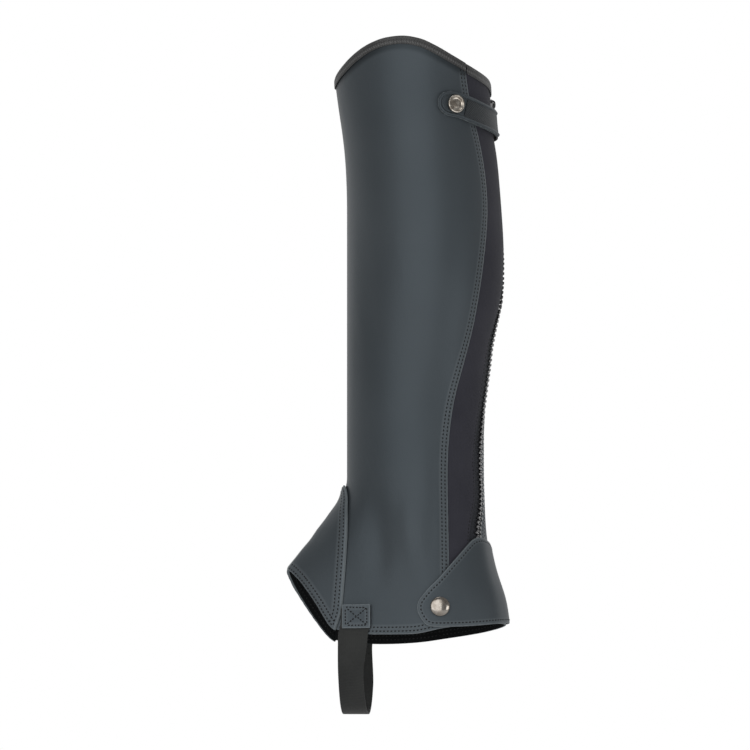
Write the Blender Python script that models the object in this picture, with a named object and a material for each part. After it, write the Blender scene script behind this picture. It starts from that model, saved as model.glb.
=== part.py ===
# Leather riding half chap for the left leg, filled out to the form of a leg.
# +Z is up the leg, the shin looks along -Y, the outer side of the leg along +X.
# The origin is on the leg's axis at the fullest part of the calf.
# Lengths below are in millimetres, angles in degrees round the leg:
# 0 is the outer side, 90 the back of the calf, -90 the shin, -180 the inner side.

import math

import bmesh
import bpy
import numpy as np
from mathutils import Matrix, Vector

MM = 0.001
SEAM_GAP = 0.3
FOLD_GAP = 0.55
GUSSET_REST = 0.8
TAPE_GAP = 0.9

LEATHER = 1.8
GUSSET_LEATHER = 1.6
STRETCH_FABRIC = 1.6
ZIP_TAPE = 1.2
BINDING = 0.9
BINDING_WIDTH = 6.2
BINDING_PARTS = 1.3
BINDING_END = 0.5
STRETCH_SEAM_TOP_ANGLE = 42.0
STRETCH_BINDING = 1.3
STRETCH_BINDING_WIDTH = 7.0
STRETCH_BINDING_PAST = 5.0
ELASTIC = 1.3
PATCH_LEATHER = 1.5

# How far each face lies below the leather's outer face.
STRETCH_FACE = -0.8
TAPE_FACE = -1.5

SHIN = -90.0
BACK = 90.0
ROUND_BACK = -270.0
LAP_RADIUS = 52.0
FOLD_MITRE = 1.6
ANKLE = -163.0
ROWS_BELOW_ANKLE = 9
ROWS_ABOVE_ANKLE = 18

GUSSET_LAP = 5.0
GUSSET_TIP = -168.0
GUSSET_CORNER = 0.97

TAPE_OUTER_WIDTH = 8.5
TAPE_INNER_WIDTH = 6.0
TAPE_TOP = 125.0
TAPE_FOOT = -274.7
CHAIN_WIDTH = 6.0
CHAIN_RISE = 0.9
CHAIN_GAP = 0.75
CHAIN_TOP = 108.7
CHAIN_FOOT = -262.0

FLAP_END = 138.0
FLAP_REST = 0.55
OVER_CHAIN = 1.2
OVER_CHAIN_SPREAD = 9.5

TAB_WIDTH = 19.0
TAB_THICKNESS = 2.3
TAB_START = 12.6
TAB_END = 86.0
TAB_RIM = 2.2
TAB_FIELD_FROM_SNAP = 9.0
TAB_FIELD_END = 4.0
TAB_RECESS = 0.9
TAB_LIFT = 0.7
INSET_THICKNESS = 0.6
INSET_MARGIN = 0.7
ELASTIC_WIDTH = 19.0
ELASTIC_END = 167.0
TAB_PATCH_WIDTH = 23.0
TAB_PATCH_HEIGHT = 20.0
TAB_PATCH_ANGLE = 156.0

STRAP_WIDTH = 22.0
STRAP_FRONT = -64.0
STRAP_SHIFT = 3.5
STRAP_SQUARENESS = 0.86
STRAP_TUCK = 2.2
STRAP_LAP_ENDS = -57.0
STRAP_LIES_FLAT = -49.0
STRAP_LOW = -341.0
STRAP_SEWN_TOP = -265.0
STRAP_LEAVES = -284.0
STRAP_PATCH_WIDTH = 21.0
STRAP_PATCH_HEIGHT = 18.0
STRAP_PATCH_FRONT = -61.0
STRAP_PATCH_TOP = -262.5

SNAP_TURNS = 32
ANKLE_SNAP_RADIUS = 7.3
ANKLE_SNAP_HEIGHT = 2.2
ANKLE_SNAP_EDGE = 0.8
ANKLE_SNAP_ANGLE = 9.0
ANKLE_SNAP_Z = -265.5
TAB_SNAP_RADIUS = 6.8
TAB_SNAP_HEIGHT = 1.9
TAB_SNAP_ANGLE = 27.0
SNAP_CLEARANCE = 0.7

SLIDER_FOOT = 109.0
SLIDER_LENGTH = 11.0
SLIDER_TOP_HALF = 4.7
SLIDER_FOOT_HALF = 3.7
SLIDER_RISE = 3.0
SLIDER_SEAT = -1.1
BRIDGE_HALF = 1.1
PIVOT_UP = 7.6
PIVOT_OUT = 4.2
PULL_BAR = 1.4
PULL_HALF = 3.2
PULL_LENGTH = 8.6
PULL_WINDOW_HALF = 1.5
PULL_WINDOW = 5.2


def table(columns, rows):
    """A short table as one array per named column."""
    return {name: np.array(values, float) for name, values in zip(columns.split(), zip(*rows))}


# Level sections of the leg from top to foot: how far forward the shin or instep fold is,
# where the section is widest, how far back it reaches, half its width, and how round
# the front and the back are (2 is an ellipse, less is more pointed).
SECTIONS = table(
    "z shin widest calf half_width front_power back_power",
    [
        (170, -68.5, -2, 49.5, 57.5, 1.95, 2.0),
        (125, -65.6, -2, 49.8, 57.0, 1.95, 2.0),
        (97, -61.4, -1, 51.2, 57.5, 1.95, 2.0),
        (77, -58.9, 1, 54.7, 58.0, 1.95, 2.0),
        (42, -57.3, 3, 57.8, 58.5, 1.95, 2.0),
        (0, -57.3, 4, 60.2, 58.5, 1.95, 2.0),
        (-37, -57.3, 3, 57.5, 56.0, 1.95, 2.0),
        (-60, -57.3, 1, 51.6, 52.5, 1.95, 2.0),
        (-83, -57.3, -1, 48.8, 49.0, 1.95, 2.0),
        (-125, -57.3, -5, 44.5, 44.5, 1.92, 2.0),
        (-165, -57.3, -5, 44.5, 43.0, 1.85, 2.0),
        (-178, -59.0, -4, 45.0, 43.0, 1.75, 2.0),
        (-205, -75.5, -2, 46.3, 43.0, 1.5, 2.0),
        (-232, -97.0, 0, 51.2, 43.0, 1.3, 2.0),
        (-258, -117.0, 2, 59.3, 43.0, 1.2, 2.0),
        (-295, -147.0, 3, 63.8, 43.0, 1.15, 2.0),
    ],
)

# The arched top edge round the leg, over its binding.
TOP_EDGE = table(
    "angle z",
    [
        (-270, 126),
        (-245, 127),
        (-215, 129.5),
        (-180, 132.5),
        (-150, 134.5),
        (-125, 134.5),
        (-105, 132.5),
        (-90, 131.5),
        (-78, 134.5),
        (-64, 140.3),
        (-50, 148),
        (-35, 155.4),
        (-23, 158.8),
        (-13, 159.6),
        (-1, 157.4),
        (12, 152.3),
        (28, 144.9),
        (45, 138.4),
        (62, 133.9),
        (78, 130.8),
        (92, 127.5),
        (118, 126.3),
    ],
)

# The hem seen from the side, by how far back it is, on the outer and the inner side.
HEM = table(
    "y outer inner",
    [
        (-101.0, -230.0, -230.0),
        (-94.0, -237.0, -245.0),
        (-87.0, -246.0, -256.5),
        (-76.0, -264.0, -272.5),
        (-68.0, -278.5, -282.0),
        (-61.0, -283.0, -285.5),
        (-39.0, -285.0, -285.5),
        (-10.0, -285.5, -284.0),
        (16.0, -280.8, -280.5),
        (45.0, -277.0, -277.0),
        (62.0, -274.5, -274.5),
    ],
)

# The seam between leather and stretch panel, seen from the outer side.
STRETCH_SEAM = table(
    "z y",
    [
        (170, 28.5),
        (132, 31.5),
        (118, 33.0),
        (87, 40.7),
        (55, 46.3),
        (32, 47.8),
        (10, 46.5),
        (-12, 44.2),
        (-37, 40.5),
        (-59, 36.4),
        (-90, 28.0),
        (-120, 20.8),
        (-161, 17.6),
        (-210, 18.3),
        (-295, 19.8),
    ],
)

# The gusset's cut edge where it laps the main panel, seen from the side.
GUSSET_EDGE = table(
    "z y",
    [
        (-168, -59.0),
        (-172, -56.8),
        (-178, -55.4),
        (-190, -55.0),
        (-220, -56.2),
        (-255, -58.6),
        (-283, -61.5),
    ],
)

# The zip's centre line, which wanders where the panels ripple above the ankle.
ZIP_LINE = table(
    "z angle",
    [
        (170, 112),
        (125, 112),
        (60, 110.5),
        (20, 108),
        (-10, 103.5),
        (-30, 96.5),
        (-45, 91),
        (-60, 86.5),
        (-80, 84),
        (-105, 84),
        (-118, 82),
        (-136, 75.5),
        (-158, 72.5),
        (-173, 74.5),
        (-192, 69),
        (-209, 60),
        (-240, 56),
        (-295, 55),
    ],
)

# The ankle flap's upper and lower edge, from its rounded end by the stud round the heel.
FLAP_EDGE = table(
    "angle top foot",
    [
        (-10.6, -264.5, -267.5),
        (-9.6, -260.5, -272.0),
        (-5.0, -256.0, -278.3),
        (4.0, -249.5, -280.6),
        (22.0, -233.3, -280.0),
        (40.0, -219.0, -278.3),
        (49.0, -213.4, -277.2),
        (57.0, -211.6, -276.2),
        (70.0, -212.4, -275.0),
        (86.0, -214.6, -273.6),
        (110.0, -221.0, -273.0),
        (138.0, -226.0, -274.0),
    ],
)

# The middle of the snap tab and of the elastic that carries it, round the calf's top.
TAB_LINE = table(
    "angle z",
    [
        (10, 109.6),
        (27, 108.6),
        (43, 104.8),
        (59, 101.6),
        (75, 99.6),
        (90, 98.4),
        (112, 97.6),
        (170, 97.0),
    ],
)


def smooth_curve(xs, ys):
    """A curve through the points that never swings past them."""
    order = np.argsort(xs)
    xs, ys = xs[order], ys[order]
    steps = np.diff(xs)
    rises = np.diff(ys) / steps
    slopes = np.zeros(len(xs))
    slopes[0], slopes[-1] = rises[0], rises[-1]
    for i in range(1, len(xs) - 1):
        before, after = rises[i - 1], rises[i]
        if before * after > 0:
            ahead = 2 * steps[i] + steps[i - 1]
            behind = steps[i] + 2 * steps[i - 1]
            slopes[i] = (ahead + behind) / (ahead / before + behind / after)

    def value(x):
        x = min(max(x, xs[0]), xs[-1])
        i = min(max(int(np.searchsorted(xs, x)) - 1, 0), len(steps) - 1)
        t = (x - xs[i]) / steps[i]
        start = (1 + 2 * t) * (1 - t) ** 2 * ys[i] + t * (1 - t) ** 2 * steps[i] * slopes[i]
        end = t * t * (3 - 2 * t) * ys[i + 1] + t * t * (t - 1) * steps[i] * slopes[i + 1]
        return start + end

    return value


section = {name: smooth_curve(SECTIONS["z"], SECTIONS[name]) for name in SECTIONS if name != "z"}
top_edge = smooth_curve(TOP_EDGE["angle"], TOP_EDGE["z"])
hem_outer = smooth_curve(HEM["y"], HEM["outer"])
hem_inner = smooth_curve(HEM["y"], HEM["inner"])
stretch_seam_y = smooth_curve(STRETCH_SEAM["z"], STRETCH_SEAM["y"])
gusset_edge_y = smooth_curve(GUSSET_EDGE["z"], GUSSET_EDGE["y"])
zip_angle = smooth_curve(ZIP_LINE["z"], ZIP_LINE["angle"])
flap_top = smooth_curve(FLAP_EDGE["angle"], FLAP_EDGE["top"])
flap_foot = smooth_curve(FLAP_EDGE["angle"], FLAP_EDGE["foot"])
tab_z = smooth_curve(TAB_LINE["angle"], TAB_LINE["z"])


def reach_and_power(front, z, out):
    """How far a section reaches from its widest line to the front or the back, and how round it is."""
    widest = section["widest"](z)
    if front:
        power = section["front_power"](z)
        # A pointed front moves further than its walls, as a mitred fold does.
        return widest - section["shin"](z) + out * (1 + FOLD_MITRE * (2 - power)), power
    return section["calf"](z) - widest + out, section["back_power"](z)


def shell_point(angle, z, out=0.0):
    """A point on the leg's form in millimetres, moved out by a distance, or in where it is negative."""
    cosine = math.cos(math.radians(angle))
    sine = math.sin(math.radians(angle))
    reach, power = reach_and_power(sine < 0, z, out)
    x = (section["half_width"](z) + out) * math.copysign(abs(cosine) ** (2 / power), cosine)
    y = section["widest"](z) + reach * math.copysign(abs(sine) ** (2 / power), sine)
    return Vector((x, y, z))


def angle_at(y, z, out=0.0):
    """The angle on the outer side where the form lies this far back."""
    widest = section["widest"](z)
    reach, power = reach_and_power(y < widest, z, out)
    share = min(abs(y - widest) / reach, 1.0)
    return math.copysign(math.degrees(math.asin(share ** (power / 2))), y - widest)


def solve(miss, low, high):
    """Halves the range until the miss changes sign."""
    rising = miss(high) > miss(low)
    for _ in range(40):
        middle = (low + high) / 2
        if (miss(middle) > 0) == rising:
            high = middle
        else:
            low = middle
    return (low + high) / 2


def to_degrees(length):
    return math.degrees(length / LAP_RADIUS)


def hem_z(angle_of_z):
    """The height at which a line round the leg meets the hem."""

    def miss(z):
        angle = angle_of_z(z)
        on_inner = math.cos(math.radians(angle)) < 0
        hem = hem_inner if on_inner else hem_outer
        return z - hem(shell_point(angle, z).y)

    return solve(miss, SECTIONS["z"][-1], GUSSET_TIP)


def stretch_seam(z):
    return angle_at(stretch_seam_y(z), z)


def gusset_half(z, lap=0.0):
    """How far the gusset's edge, or a line that much in front of it, lies from the fold, in degrees."""
    return angle_at(gusset_edge_y(z) - lap, z) - SHIN


def zip_edge_outer(z):
    return zip_angle(z) - to_degrees(TAPE_OUTER_WIDTH)


def zip_edge_inner(z):
    return zip_angle(z) + to_degrees(TAPE_INNER_WIDTH)


def over_chain(angle, z):
    """How much a layer rises where it crosses the zip's teeth."""
    return OVER_CHAIN * math.exp(-(((angle - zip_angle(z)) / OVER_CHAIN_SPREAD) ** 2))


def smooth_step(start, end, value):
    t = min(max((value - start) / (end - start), 0.0), 1.0)
    return t * t * (3 - 2 * t)


def make_material(name, colour, roughness, metallic=0.0):
    material = bpy.data.materials.new(name)
    material.use_nodes = True
    shader = material.node_tree.nodes["Principled BSDF"]
    shader.inputs["Base Color"].default_value = (*colour, 1.0)
    shader.inputs["Roughness"].default_value = roughness
    shader.inputs["Metallic"].default_value = metallic
    material.diffuse_color = (*colour, 1.0)
    return material


def make_object(name, mesh_bmesh, material, matrix=None, smooth=True):
    """Closes a bmesh, turns its faces outward and puts it in the scene in metres."""
    bmesh.ops.remove_doubles(mesh_bmesh, verts=mesh_bmesh.verts, dist=1e-5)
    bmesh.ops.recalc_face_normals(mesh_bmesh, faces=mesh_bmesh.faces)
    mesh = bpy.data.meshes.new(name)
    mesh_bmesh.to_mesh(mesh)
    mesh_bmesh.free()
    mesh.materials.append(material)
    if smooth:
        mesh.shade_smooth()
        mesh.set_sharp_from_angle(angle=math.radians(40))
    part = bpy.data.objects.new(name, mesh)
    if matrix is not None:
        part.matrix_world = matrix
    bpy.context.collection.objects.link(part)
    return part


def wall(name, columns, outer, inner, material):
    """A cloth wall from columns of (angle, z): outer and inner give its faces' distance from the form."""
    shape = bmesh.new()
    faces = []
    for depth in (outer, inner):
        rows = [[shape.verts.new(shell_point(a, z, depth(a, z)) * MM) for a, z in c] for c in columns]
        faces.append(rows)
        for left, right in zip(rows, rows[1:]):
            for i in range(len(left) - 1):
                shape.faces.new((left[i], right[i], right[i + 1], left[i + 1]))
    outside, inside = faces

    def border(rows):
        lower = [column[0] for column in rows]
        upper = [column[-1] for column in rows]
        return lower + rows[-1][1:-1] + upper[::-1] + rows[0][-2:0:-1]

    rim = list(zip(border(outside), border(inside)))
    for (a, b), (c, d) in zip(rim, rim[1:] + rim[:1]):
        shape.faces.new((a, b, d, c))
    return make_object(name, shape, material)


def level(depth):
    return lambda angle, z: depth


def levels_between(foot, top):
    """Heights from the foot to the top, which all columns share just above the slit for the gusset."""
    below = np.linspace(foot, ANKLE, ROWS_BELOW_ANKLE + 1)[:-1]
    return np.concatenate([below, np.linspace(ANKLE, top, ROWS_ABOVE_ANKLE)])


def upright_columns(angle_of, shares, foot_of, top_of):
    """Columns of a panel from foot to top. angle_of(share, z) leads across it."""
    columns = []
    for share in shares:
        columns.append([(angle_of(share, z), z) for z in levels_between(foot_of(share), top_of(share))])
    return columns


def top_of_panel(angle_of, share, below):
    """The height at which a panel's column meets the top edge, less its binding."""
    z = solve(lambda z: z - top_edge(angle_of(share, z)), 100.0, 168.0)
    return z - below


def make_main_panel(material):
    """One leather piece from the stretch seam round the shin to the zip, slit in front for the gusset."""

    def angle_of(share, z):
        if share < 0.5:
            start, end, part = stretch_seam(z), SHIN, share / 0.5
        else:
            start, end, part = SHIN, ROUND_BACK + zip_edge_inner(z) - BACK, (share - 0.5) / 0.5
        return start + (end - start) * part

    def foot_of(share):
        hem = hem_z(lambda z: angle_of(share, z))
        from_fold = abs(angle_of(share, hem) - SHIN)
        if from_fold >= gusset_half(hem, GUSSET_LAP):
            return hem
        slit = lambda z: abs(angle_of(share, z) - SHIN) - gusset_half(z, GUSSET_LAP)
        return max(solve(slit, hem, GUSSET_TIP), hem)

    def corner(side):
        """The share at which the slit meets the hem."""

        def miss(share):
            hem = hem_z(lambda z: angle_of(share, z))
            return abs(angle_of(share, hem) - SHIN) - gusset_half(hem, GUSSET_LAP)

        return solve(miss, 0.5 + side * 0.02, 0.5 + side * 0.45)

    outer_corner, inner_corner = corner(-1), corner(1)
    shares = np.concatenate(
        [
            np.linspace(0, outer_corner, 14)[:-1],
            np.linspace(outer_corner, 0.5, 9)[:-1],
            np.linspace(0.5, inner_corner, 9)[:-1],
            np.linspace(inner_corner, 1, 19),
        ]
    )
    below = BINDING + FOLD_GAP
    columns = upright_columns(angle_of, shares, foot_of, lambda s: top_of_panel(angle_of, s, below))
    return wall("main_panel", columns, level(0.0), level(-LEATHER), material)


def make_gusset(material):
    """The instep piece, folded on the front centre line, lapping the main panel on both sides."""

    def reach(side):
        """How far the gusset spreads where its edge meets the hem."""

        def miss(z):
            on_line = hem_z(lambda height: SHIN + side * gusset_half(height))
            return z - on_line

        corner = solve(miss, -290.0, -200.0)
        return gusset_half(corner) * GUSSET_CORNER

    columns = []
    spread = np.sin(np.linspace(-math.pi / 2, math.pi / 2, 23))
    for share in spread:
        angle = SHIN + share * reach(1 if share > 0 else -1)
        foot = hem_z(lambda z: angle)
        top = solve(lambda z: gusset_half(z) - abs(angle - SHIN), foot, GUSSET_TIP)
        columns.append([(angle, z) for z in np.linspace(foot, top, 10)])
    return wall("vamp_gusset", columns, level(GUSSET_REST + GUSSET_LEATHER), level(GUSSET_REST), material)


def make_side_panel(name, start, end, across, below, depths, material):
    """A panel between two lines up the leg, from the hem to the top edge."""

    def angle_of(share, z):
        return start(z) + (end(z) - start(z)) * share

    columns = upright_columns(
        angle_of,
        np.linspace(0, 1, across),
        lambda s: hem_z(lambda z: angle_of(s, z)),
        lambda s: top_of_panel(angle_of, s, below),
    )
    outer, thickness = depths
    return wall(name, columns, level(outer), level(outer - thickness), material)


def make_tape(name, start, end, foot, top, depths, material):
    """A strip along the zip between two heights."""
    columns = []
    for share in np.linspace(0, 1, 3):
        columns.append([(start(z) + (end(z) - start(z)) * share, z) for z in levels_between(foot, top)])
    outer, inner = depths
    return wall(name, columns, level(outer), level(inner), material)


def make_binding(name, angles, face, cloth, thickness, width, material):
    """A folded band over a panel's top edge. Its section is an upside-down U."""
    shape = bmesh.new()
    rings = []
    outside = face + FOLD_GAP
    inside = face - cloth - FOLD_GAP
    for angle in angles:
        top = top_edge(angle)
        slope = (top_edge(angle + 1) - top_edge(angle - 1)) / (2 * math.radians(1) * LAP_RADIUS)
        foot = top - width * math.hypot(1, slope)
        under = top - thickness
        profile = [
            (outside + thickness, foot),
            (outside + thickness, top - thickness / 2),
            (outside + thickness / 2, top),
            (inside - thickness / 2, top),
            (inside - thickness, top - thickness / 2),
            (inside - thickness, foot),
            (inside, foot),
            (inside, under),
            (outside, under),
            (outside, foot),
        ]
        rings.append([shape.verts.new(shell_point(angle, z, d) * MM) for d, z in profile])
    for left, right in zip(rings, rings[1:]):
        for i in range(len(left)):
            j = (i + 1) % len(left)
            shape.faces.new((left[i], right[i], right[j], left[j]))
    for end in (rings[0], rings[-1]):
        a, b, c, d, e, f, g, h, k, m = end
        shape.faces.new((a, b, k, m))
        shape.faces.new((b, c, d, e, h, k))
        shape.faces.new((e, f, g, h))
    return make_object(name, shape, material)


def make_flap(material):
    """The ankle flap, which lies on the leather and rises a little over the teeth."""
    ends = FLAP_EDGE["angle"][:3]
    angles = np.concatenate([ends, np.linspace(-2, FLAP_END, 30)])
    columns = [
        [(angle, z) for z in np.linspace(flap_foot(angle), flap_top(angle), 8)] for angle in angles
    ]
    rest = lambda angle, z: FLAP_REST + over_chain(angle, z)
    return wall("ankle_flap", columns, lambda a, z: rest(a, z) + LEATHER, rest, material)


def band_columns(angles, across):
    """Columns across a band that follows the tab's line. across(run) gives distances from its middle."""
    columns = []
    run = 0.0
    last = None
    for angle in angles:
        z = tab_z(angle)
        slope = (tab_z(angle + 1) - tab_z(angle - 1)) / (2 * math.radians(1) * LAP_RADIUS)
        if last is not None:
            run += math.hypot(math.radians(angle - last[0]) * LAP_RADIUS, z - last[1])
        last = (angle, z)
        tilt = math.hypot(1, slope)
        columns.append([(angle - to_degrees(w * slope / tilt), z + w / tilt) for w in across(run)])
    return columns


def tab_rest(angle, z):
    """The tab leaves the leather towards the back, where its elastic crosses the zip."""
    return FLAP_REST + TAB_LIFT * smooth_step(35, 80, angle)


def elastic_rest(angle, z):
    if angle < zip_angle(z):
        rise = smooth_step(TAB_END, zip_angle(z), angle)
        return FLAP_REST + TAB_LIFT + (OVER_CHAIN - TAB_LIFT) * rise
    return FLAP_REST + over_chain(angle, z)


def make_tab(material):
    """The snap tab: a strap with a rounded end and a raised rim round a sunken field."""
    half = TAB_WIDTH / 2
    field_start, field_end = TAB_SNAP_ANGLE + TAB_FIELD_FROM_SNAP, TAB_END - TAB_FIELD_END
    rounding = [0.35, 1.4, 3.2, 5.8, 9.0]
    head = [TAB_START + to_degrees(run) for run in rounding]
    step = to_degrees(0.05)
    angles = head + list(np.linspace(head[-1] + 3, field_start, 4))
    angles += list(np.linspace(field_start + step, field_end, 12)) + [field_end + step, TAB_END]

    def across(run):
        run += rounding[0]
        reach = half if run > half else math.sqrt(half**2 - (half - run) ** 2)
        inner = reach * (half - TAB_RIM) / half
        return [-reach, -inner, -inner + 0.05, 0, inner - 0.05, inner, reach]

    columns = band_columns(angles, across)
    sunk = {
        (round(a, 6), round(z, 6))
        for angle, column in zip(angles, columns)
        if field_start < angle <= field_end
        for a, z in column[2:5]
    }

    def outer(angle, z):
        field = (round(angle, 6), round(z, 6)) in sunk
        return tab_rest(angle, z) + TAB_THICKNESS - (TAB_RECESS if field else 0)

    return wall("tab_leather", columns, outer, tab_rest, material)


def make_tab_inset(material):
    """The plain plate in the tab's sunken field."""
    half = TAB_WIDTH / 2 - TAB_RIM - SEAM_GAP
    start = TAB_SNAP_ANGLE + TAB_FIELD_FROM_SNAP + INSET_MARGIN
    angles = np.linspace(start, TAB_END - TAB_FIELD_END - INSET_MARGIN, 12)
    columns = band_columns(angles, lambda run: [-half, 0, half])
    base = TAB_THICKNESS - TAB_RECESS + SEAM_GAP
    return wall(
        "tab_inset",
        columns,
        lambda a, z: tab_rest(a, z) + base + INSET_THICKNESS,
        lambda a, z: tab_rest(a, z) + base,
        material,
    )


def make_tab_elastic(material):
    half = ELASTIC_WIDTH / 2
    start = TAB_END + to_degrees(SEAM_GAP + 0.1)
    angles = np.linspace(start, ELASTIC_END, 18)
    columns = band_columns(angles, lambda run: np.linspace(-half, half, 5))
    return wall(
        "tab_elastic", columns, lambda a, z: elastic_rest(a, z) + ELASTIC, elastic_rest, material
    )


def make_tab_patch(material):
    """The sewn square over the elastic's inner end."""
    half_turn = to_degrees(TAB_PATCH_WIDTH / 2)
    angles = np.linspace(TAB_PATCH_ANGLE - half_turn, TAB_PATCH_ANGLE + half_turn, 5)
    half = TAB_PATCH_HEIGHT / 2
    columns = band_columns(angles, lambda run: np.linspace(-half, half, 4))
    rest = lambda a, z: elastic_rest(a, z) + ELASTIC + SEAM_GAP
    return wall("tab_patch", columns, lambda a, z: rest(a, z) + PATCH_LEATHER, rest, material)


def strap_rest(y, shift=0.0):
    """The boot strap lies on the gusset's lap in front and comes down to the leather behind it."""
    lap = GUSSET_REST + GUSSET_LEATHER
    return SEAM_GAP + lap * (1 - smooth_step(STRAP_LAP_ENDS + shift, STRAP_LIES_FLAT + shift, y))


def strap_lines(front, back):
    """Places across the boot strap or its patch, with its bend over the gusset's edge shared by both."""
    return [front, *np.linspace(STRAP_LAP_ENDS, STRAP_LIES_FLAT, 4), back]


def side_point(y, z, out, side):
    """A point of the form at this distance back, on the outer side (1) or the inner side (-1)."""
    point = shell_point(angle_at(y, z, out), z, out)
    return Vector((side * point.x, y, z))


def make_boot_strap(material):
    """The elastic that runs under the boot: sewn to both sides, it hangs as a U."""
    shape = bmesh.new()
    hanging = strap_lines(STRAP_FRONT, STRAP_FRONT + STRAP_WIDTH)
    tucked = strap_lines(STRAP_FRONT + STRAP_TUCK, STRAP_FRONT + STRAP_TUCK + STRAP_WIDTH)
    rings = []

    def ring(lines, place):
        outside = [shape.verts.new(place(y, ELASTIC) * MM) for y in lines]
        inside = [shape.verts.new(place(y, 0.0) * MM) for y in reversed(lines)]
        rings.append(outside + inside)

    def sewn(side, shift, levels):
        for z in levels:
            ring(tucked, lambda y, out: side_point(y + shift, z, strap_rest(y + shift, shift) + out, side))

    def hang(turn):
        shift = STRAP_SHIFT * (1 - math.cos(turn)) / 2
        round_off = math.copysign(abs(math.cos(turn)) ** STRAP_SQUARENESS, math.cos(turn))

        def place(y, out):
            across = side_point(y + shift, STRAP_LEAVES, strap_rest(y + shift, shift) + out, 1).x
            drop = STRAP_LEAVES - (STRAP_LOW + ELASTIC) + out
            return Vector((across * round_off, y + shift, STRAP_LEAVES - drop * math.sin(turn)))

        ring(hanging, place)

    levels = np.linspace(STRAP_SEWN_TOP, STRAP_LEAVES, 4)[:-1]
    sewn(1, 0.0, levels)
    for turn in np.linspace(0, math.pi, 29):
        hang(turn)
    sewn(-1, STRAP_SHIFT, reversed(levels))
    for left, right in zip(rings, rings[1:]):
        for i in range(len(left)):
            j = (i + 1) % len(left)
            shape.faces.new((left[i], right[i], right[j], left[j]))
    shape.faces.new(rings[0])
    shape.faces.new(rings[-1])
    return make_object("boot_strap", shape, material)


def make_strap_patch(name, side, shift, material):
    """The sewn square of leather over one end of the boot strap."""
    shape = bmesh.new()
    ys = np.array(strap_lines(STRAP_PATCH_FRONT, STRAP_PATCH_FRONT + STRAP_PATCH_WIDTH)) + shift
    zs = np.linspace(STRAP_PATCH_TOP, STRAP_PATCH_TOP - STRAP_PATCH_HEIGHT, 4)
    layers = []
    for thickness in (PATCH_LEATHER, 0.0):
        rest = [strap_rest(y, shift) + ELASTIC + SEAM_GAP + thickness for y in ys]
        layers.append(
            [[shape.verts.new(side_point(y, z, r, side) * MM) for z in zs] for y, r in zip(ys, rest)]
        )
    for rows in layers:
        for left, right in zip(rows, rows[1:]):
            for i in range(len(left) - 1):
                shape.faces.new((left[i], right[i], right[i + 1], left[i + 1]))
    borders = []
    for rows in layers:
        lower = [column[0] for column in rows]
        upper = [column[-1] for column in rows]
        borders.append(lower + rows[-1][1:-1] + upper[::-1] + rows[0][-2:0:-1])
    rim = list(zip(*borders))
    for (a, b), (c, d) in zip(rim, rim[1:] + rim[:1]):
        shape.faces.new((a, b, d, c))
    return make_object(name, shape, material)


def seat(angle, z, out):
    """A matrix that puts +Z of a turned piece along the form's outward direction."""
    origin = shell_point(angle, z, out)
    round_leg = shell_point(angle + 0.5, z, out) - origin
    up_leg = shell_point(angle, z + 0.5, out) - origin
    normal = round_leg.cross(up_leg).normalized()
    turn = normal.to_track_quat("Z", "Y").to_matrix().to_4x4()
    return Matrix.Translation(origin * MM) @ turn


def turned(name, profile, matrix, material):
    """A round piece from (radius, height) pairs that start and end on its axis."""
    shape = bmesh.new()
    rings = []
    for radius, height in profile:
        if radius == 0:
            rings.append([shape.verts.new((0, 0, height * MM))])
            continue
        turns = [2 * math.pi * i / SNAP_TURNS for i in range(SNAP_TURNS)]
        rings.append(
            [
                shape.verts.new((radius * math.cos(t) * MM, radius * math.sin(t) * MM, height * MM))
                for t in turns
            ]
        )
    for lower, upper in zip(rings, rings[1:]):
        for i in range(SNAP_TURNS):
            j = (i + 1) % SNAP_TURNS
            if len(lower) == 1:
                shape.faces.new((lower[0], upper[i], upper[j]))
            elif len(upper) == 1:
                shape.faces.new((lower[i], lower[j], upper[0]))
            else:
                shape.faces.new((lower[i], lower[j], upper[j], upper[i]))
    return make_object(name, shape, material, matrix)


def make_ankle_snap(material):
    radius, height = ANKLE_SNAP_RADIUS, ANKLE_SNAP_HEIGHT
    edge = ANKLE_SNAP_EDGE
    profile = [(0, 0), (radius * 0.9, 0), (radius, edge * 0.45), (radius, edge)]
    for share in (0.93, 0.8, 0.6, 0.35):
        profile.append((radius * share, edge + (height - edge) * math.sqrt(1 - share**2)))
    profile.append((0, height))
    matrix = seat(ANKLE_SNAP_ANGLE, ANKLE_SNAP_Z, FLAP_REST + LEATHER + SNAP_CLEARANCE)
    return turned("ankle_snap", profile, matrix, material)


def make_tab_snap(material):
    radius, height = TAB_SNAP_RADIUS, TAB_SNAP_HEIGHT
    profile = [
        (0, 0),
        (radius * 0.92, 0),
        (radius, 0.4),
        (radius, height * 0.7),
        (radius * 0.94, height),
        (radius * 0.84, height),
        (radius * 0.76, height * 0.72),
        (radius * 0.45, height * 0.6),
        (0, height * 0.58),
    ]
    angle = TAB_SNAP_ANGLE
    matrix = seat(angle, tab_z(angle), tab_rest(angle, 0) + TAB_THICKNESS + SNAP_CLEARANCE)
    return turned("tab_snap", profile, matrix, material)


def plate(shape, outline, low, high, place):
    """Adds a closed plate to a bmesh from its outline in two coordinates and its extent in the third."""
    lower = [shape.verts.new(place(a, b, low) * MM) for a, b in outline]
    upper = [shape.verts.new(place(a, b, high) * MM) for a, b in outline]
    shape.faces.new(lower)
    shape.faces.new(upper)
    for i in range(len(outline)):
        j = (i + 1) % len(outline)
        shape.faces.new((lower[i], lower[j], upper[j], upper[i]))


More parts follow.
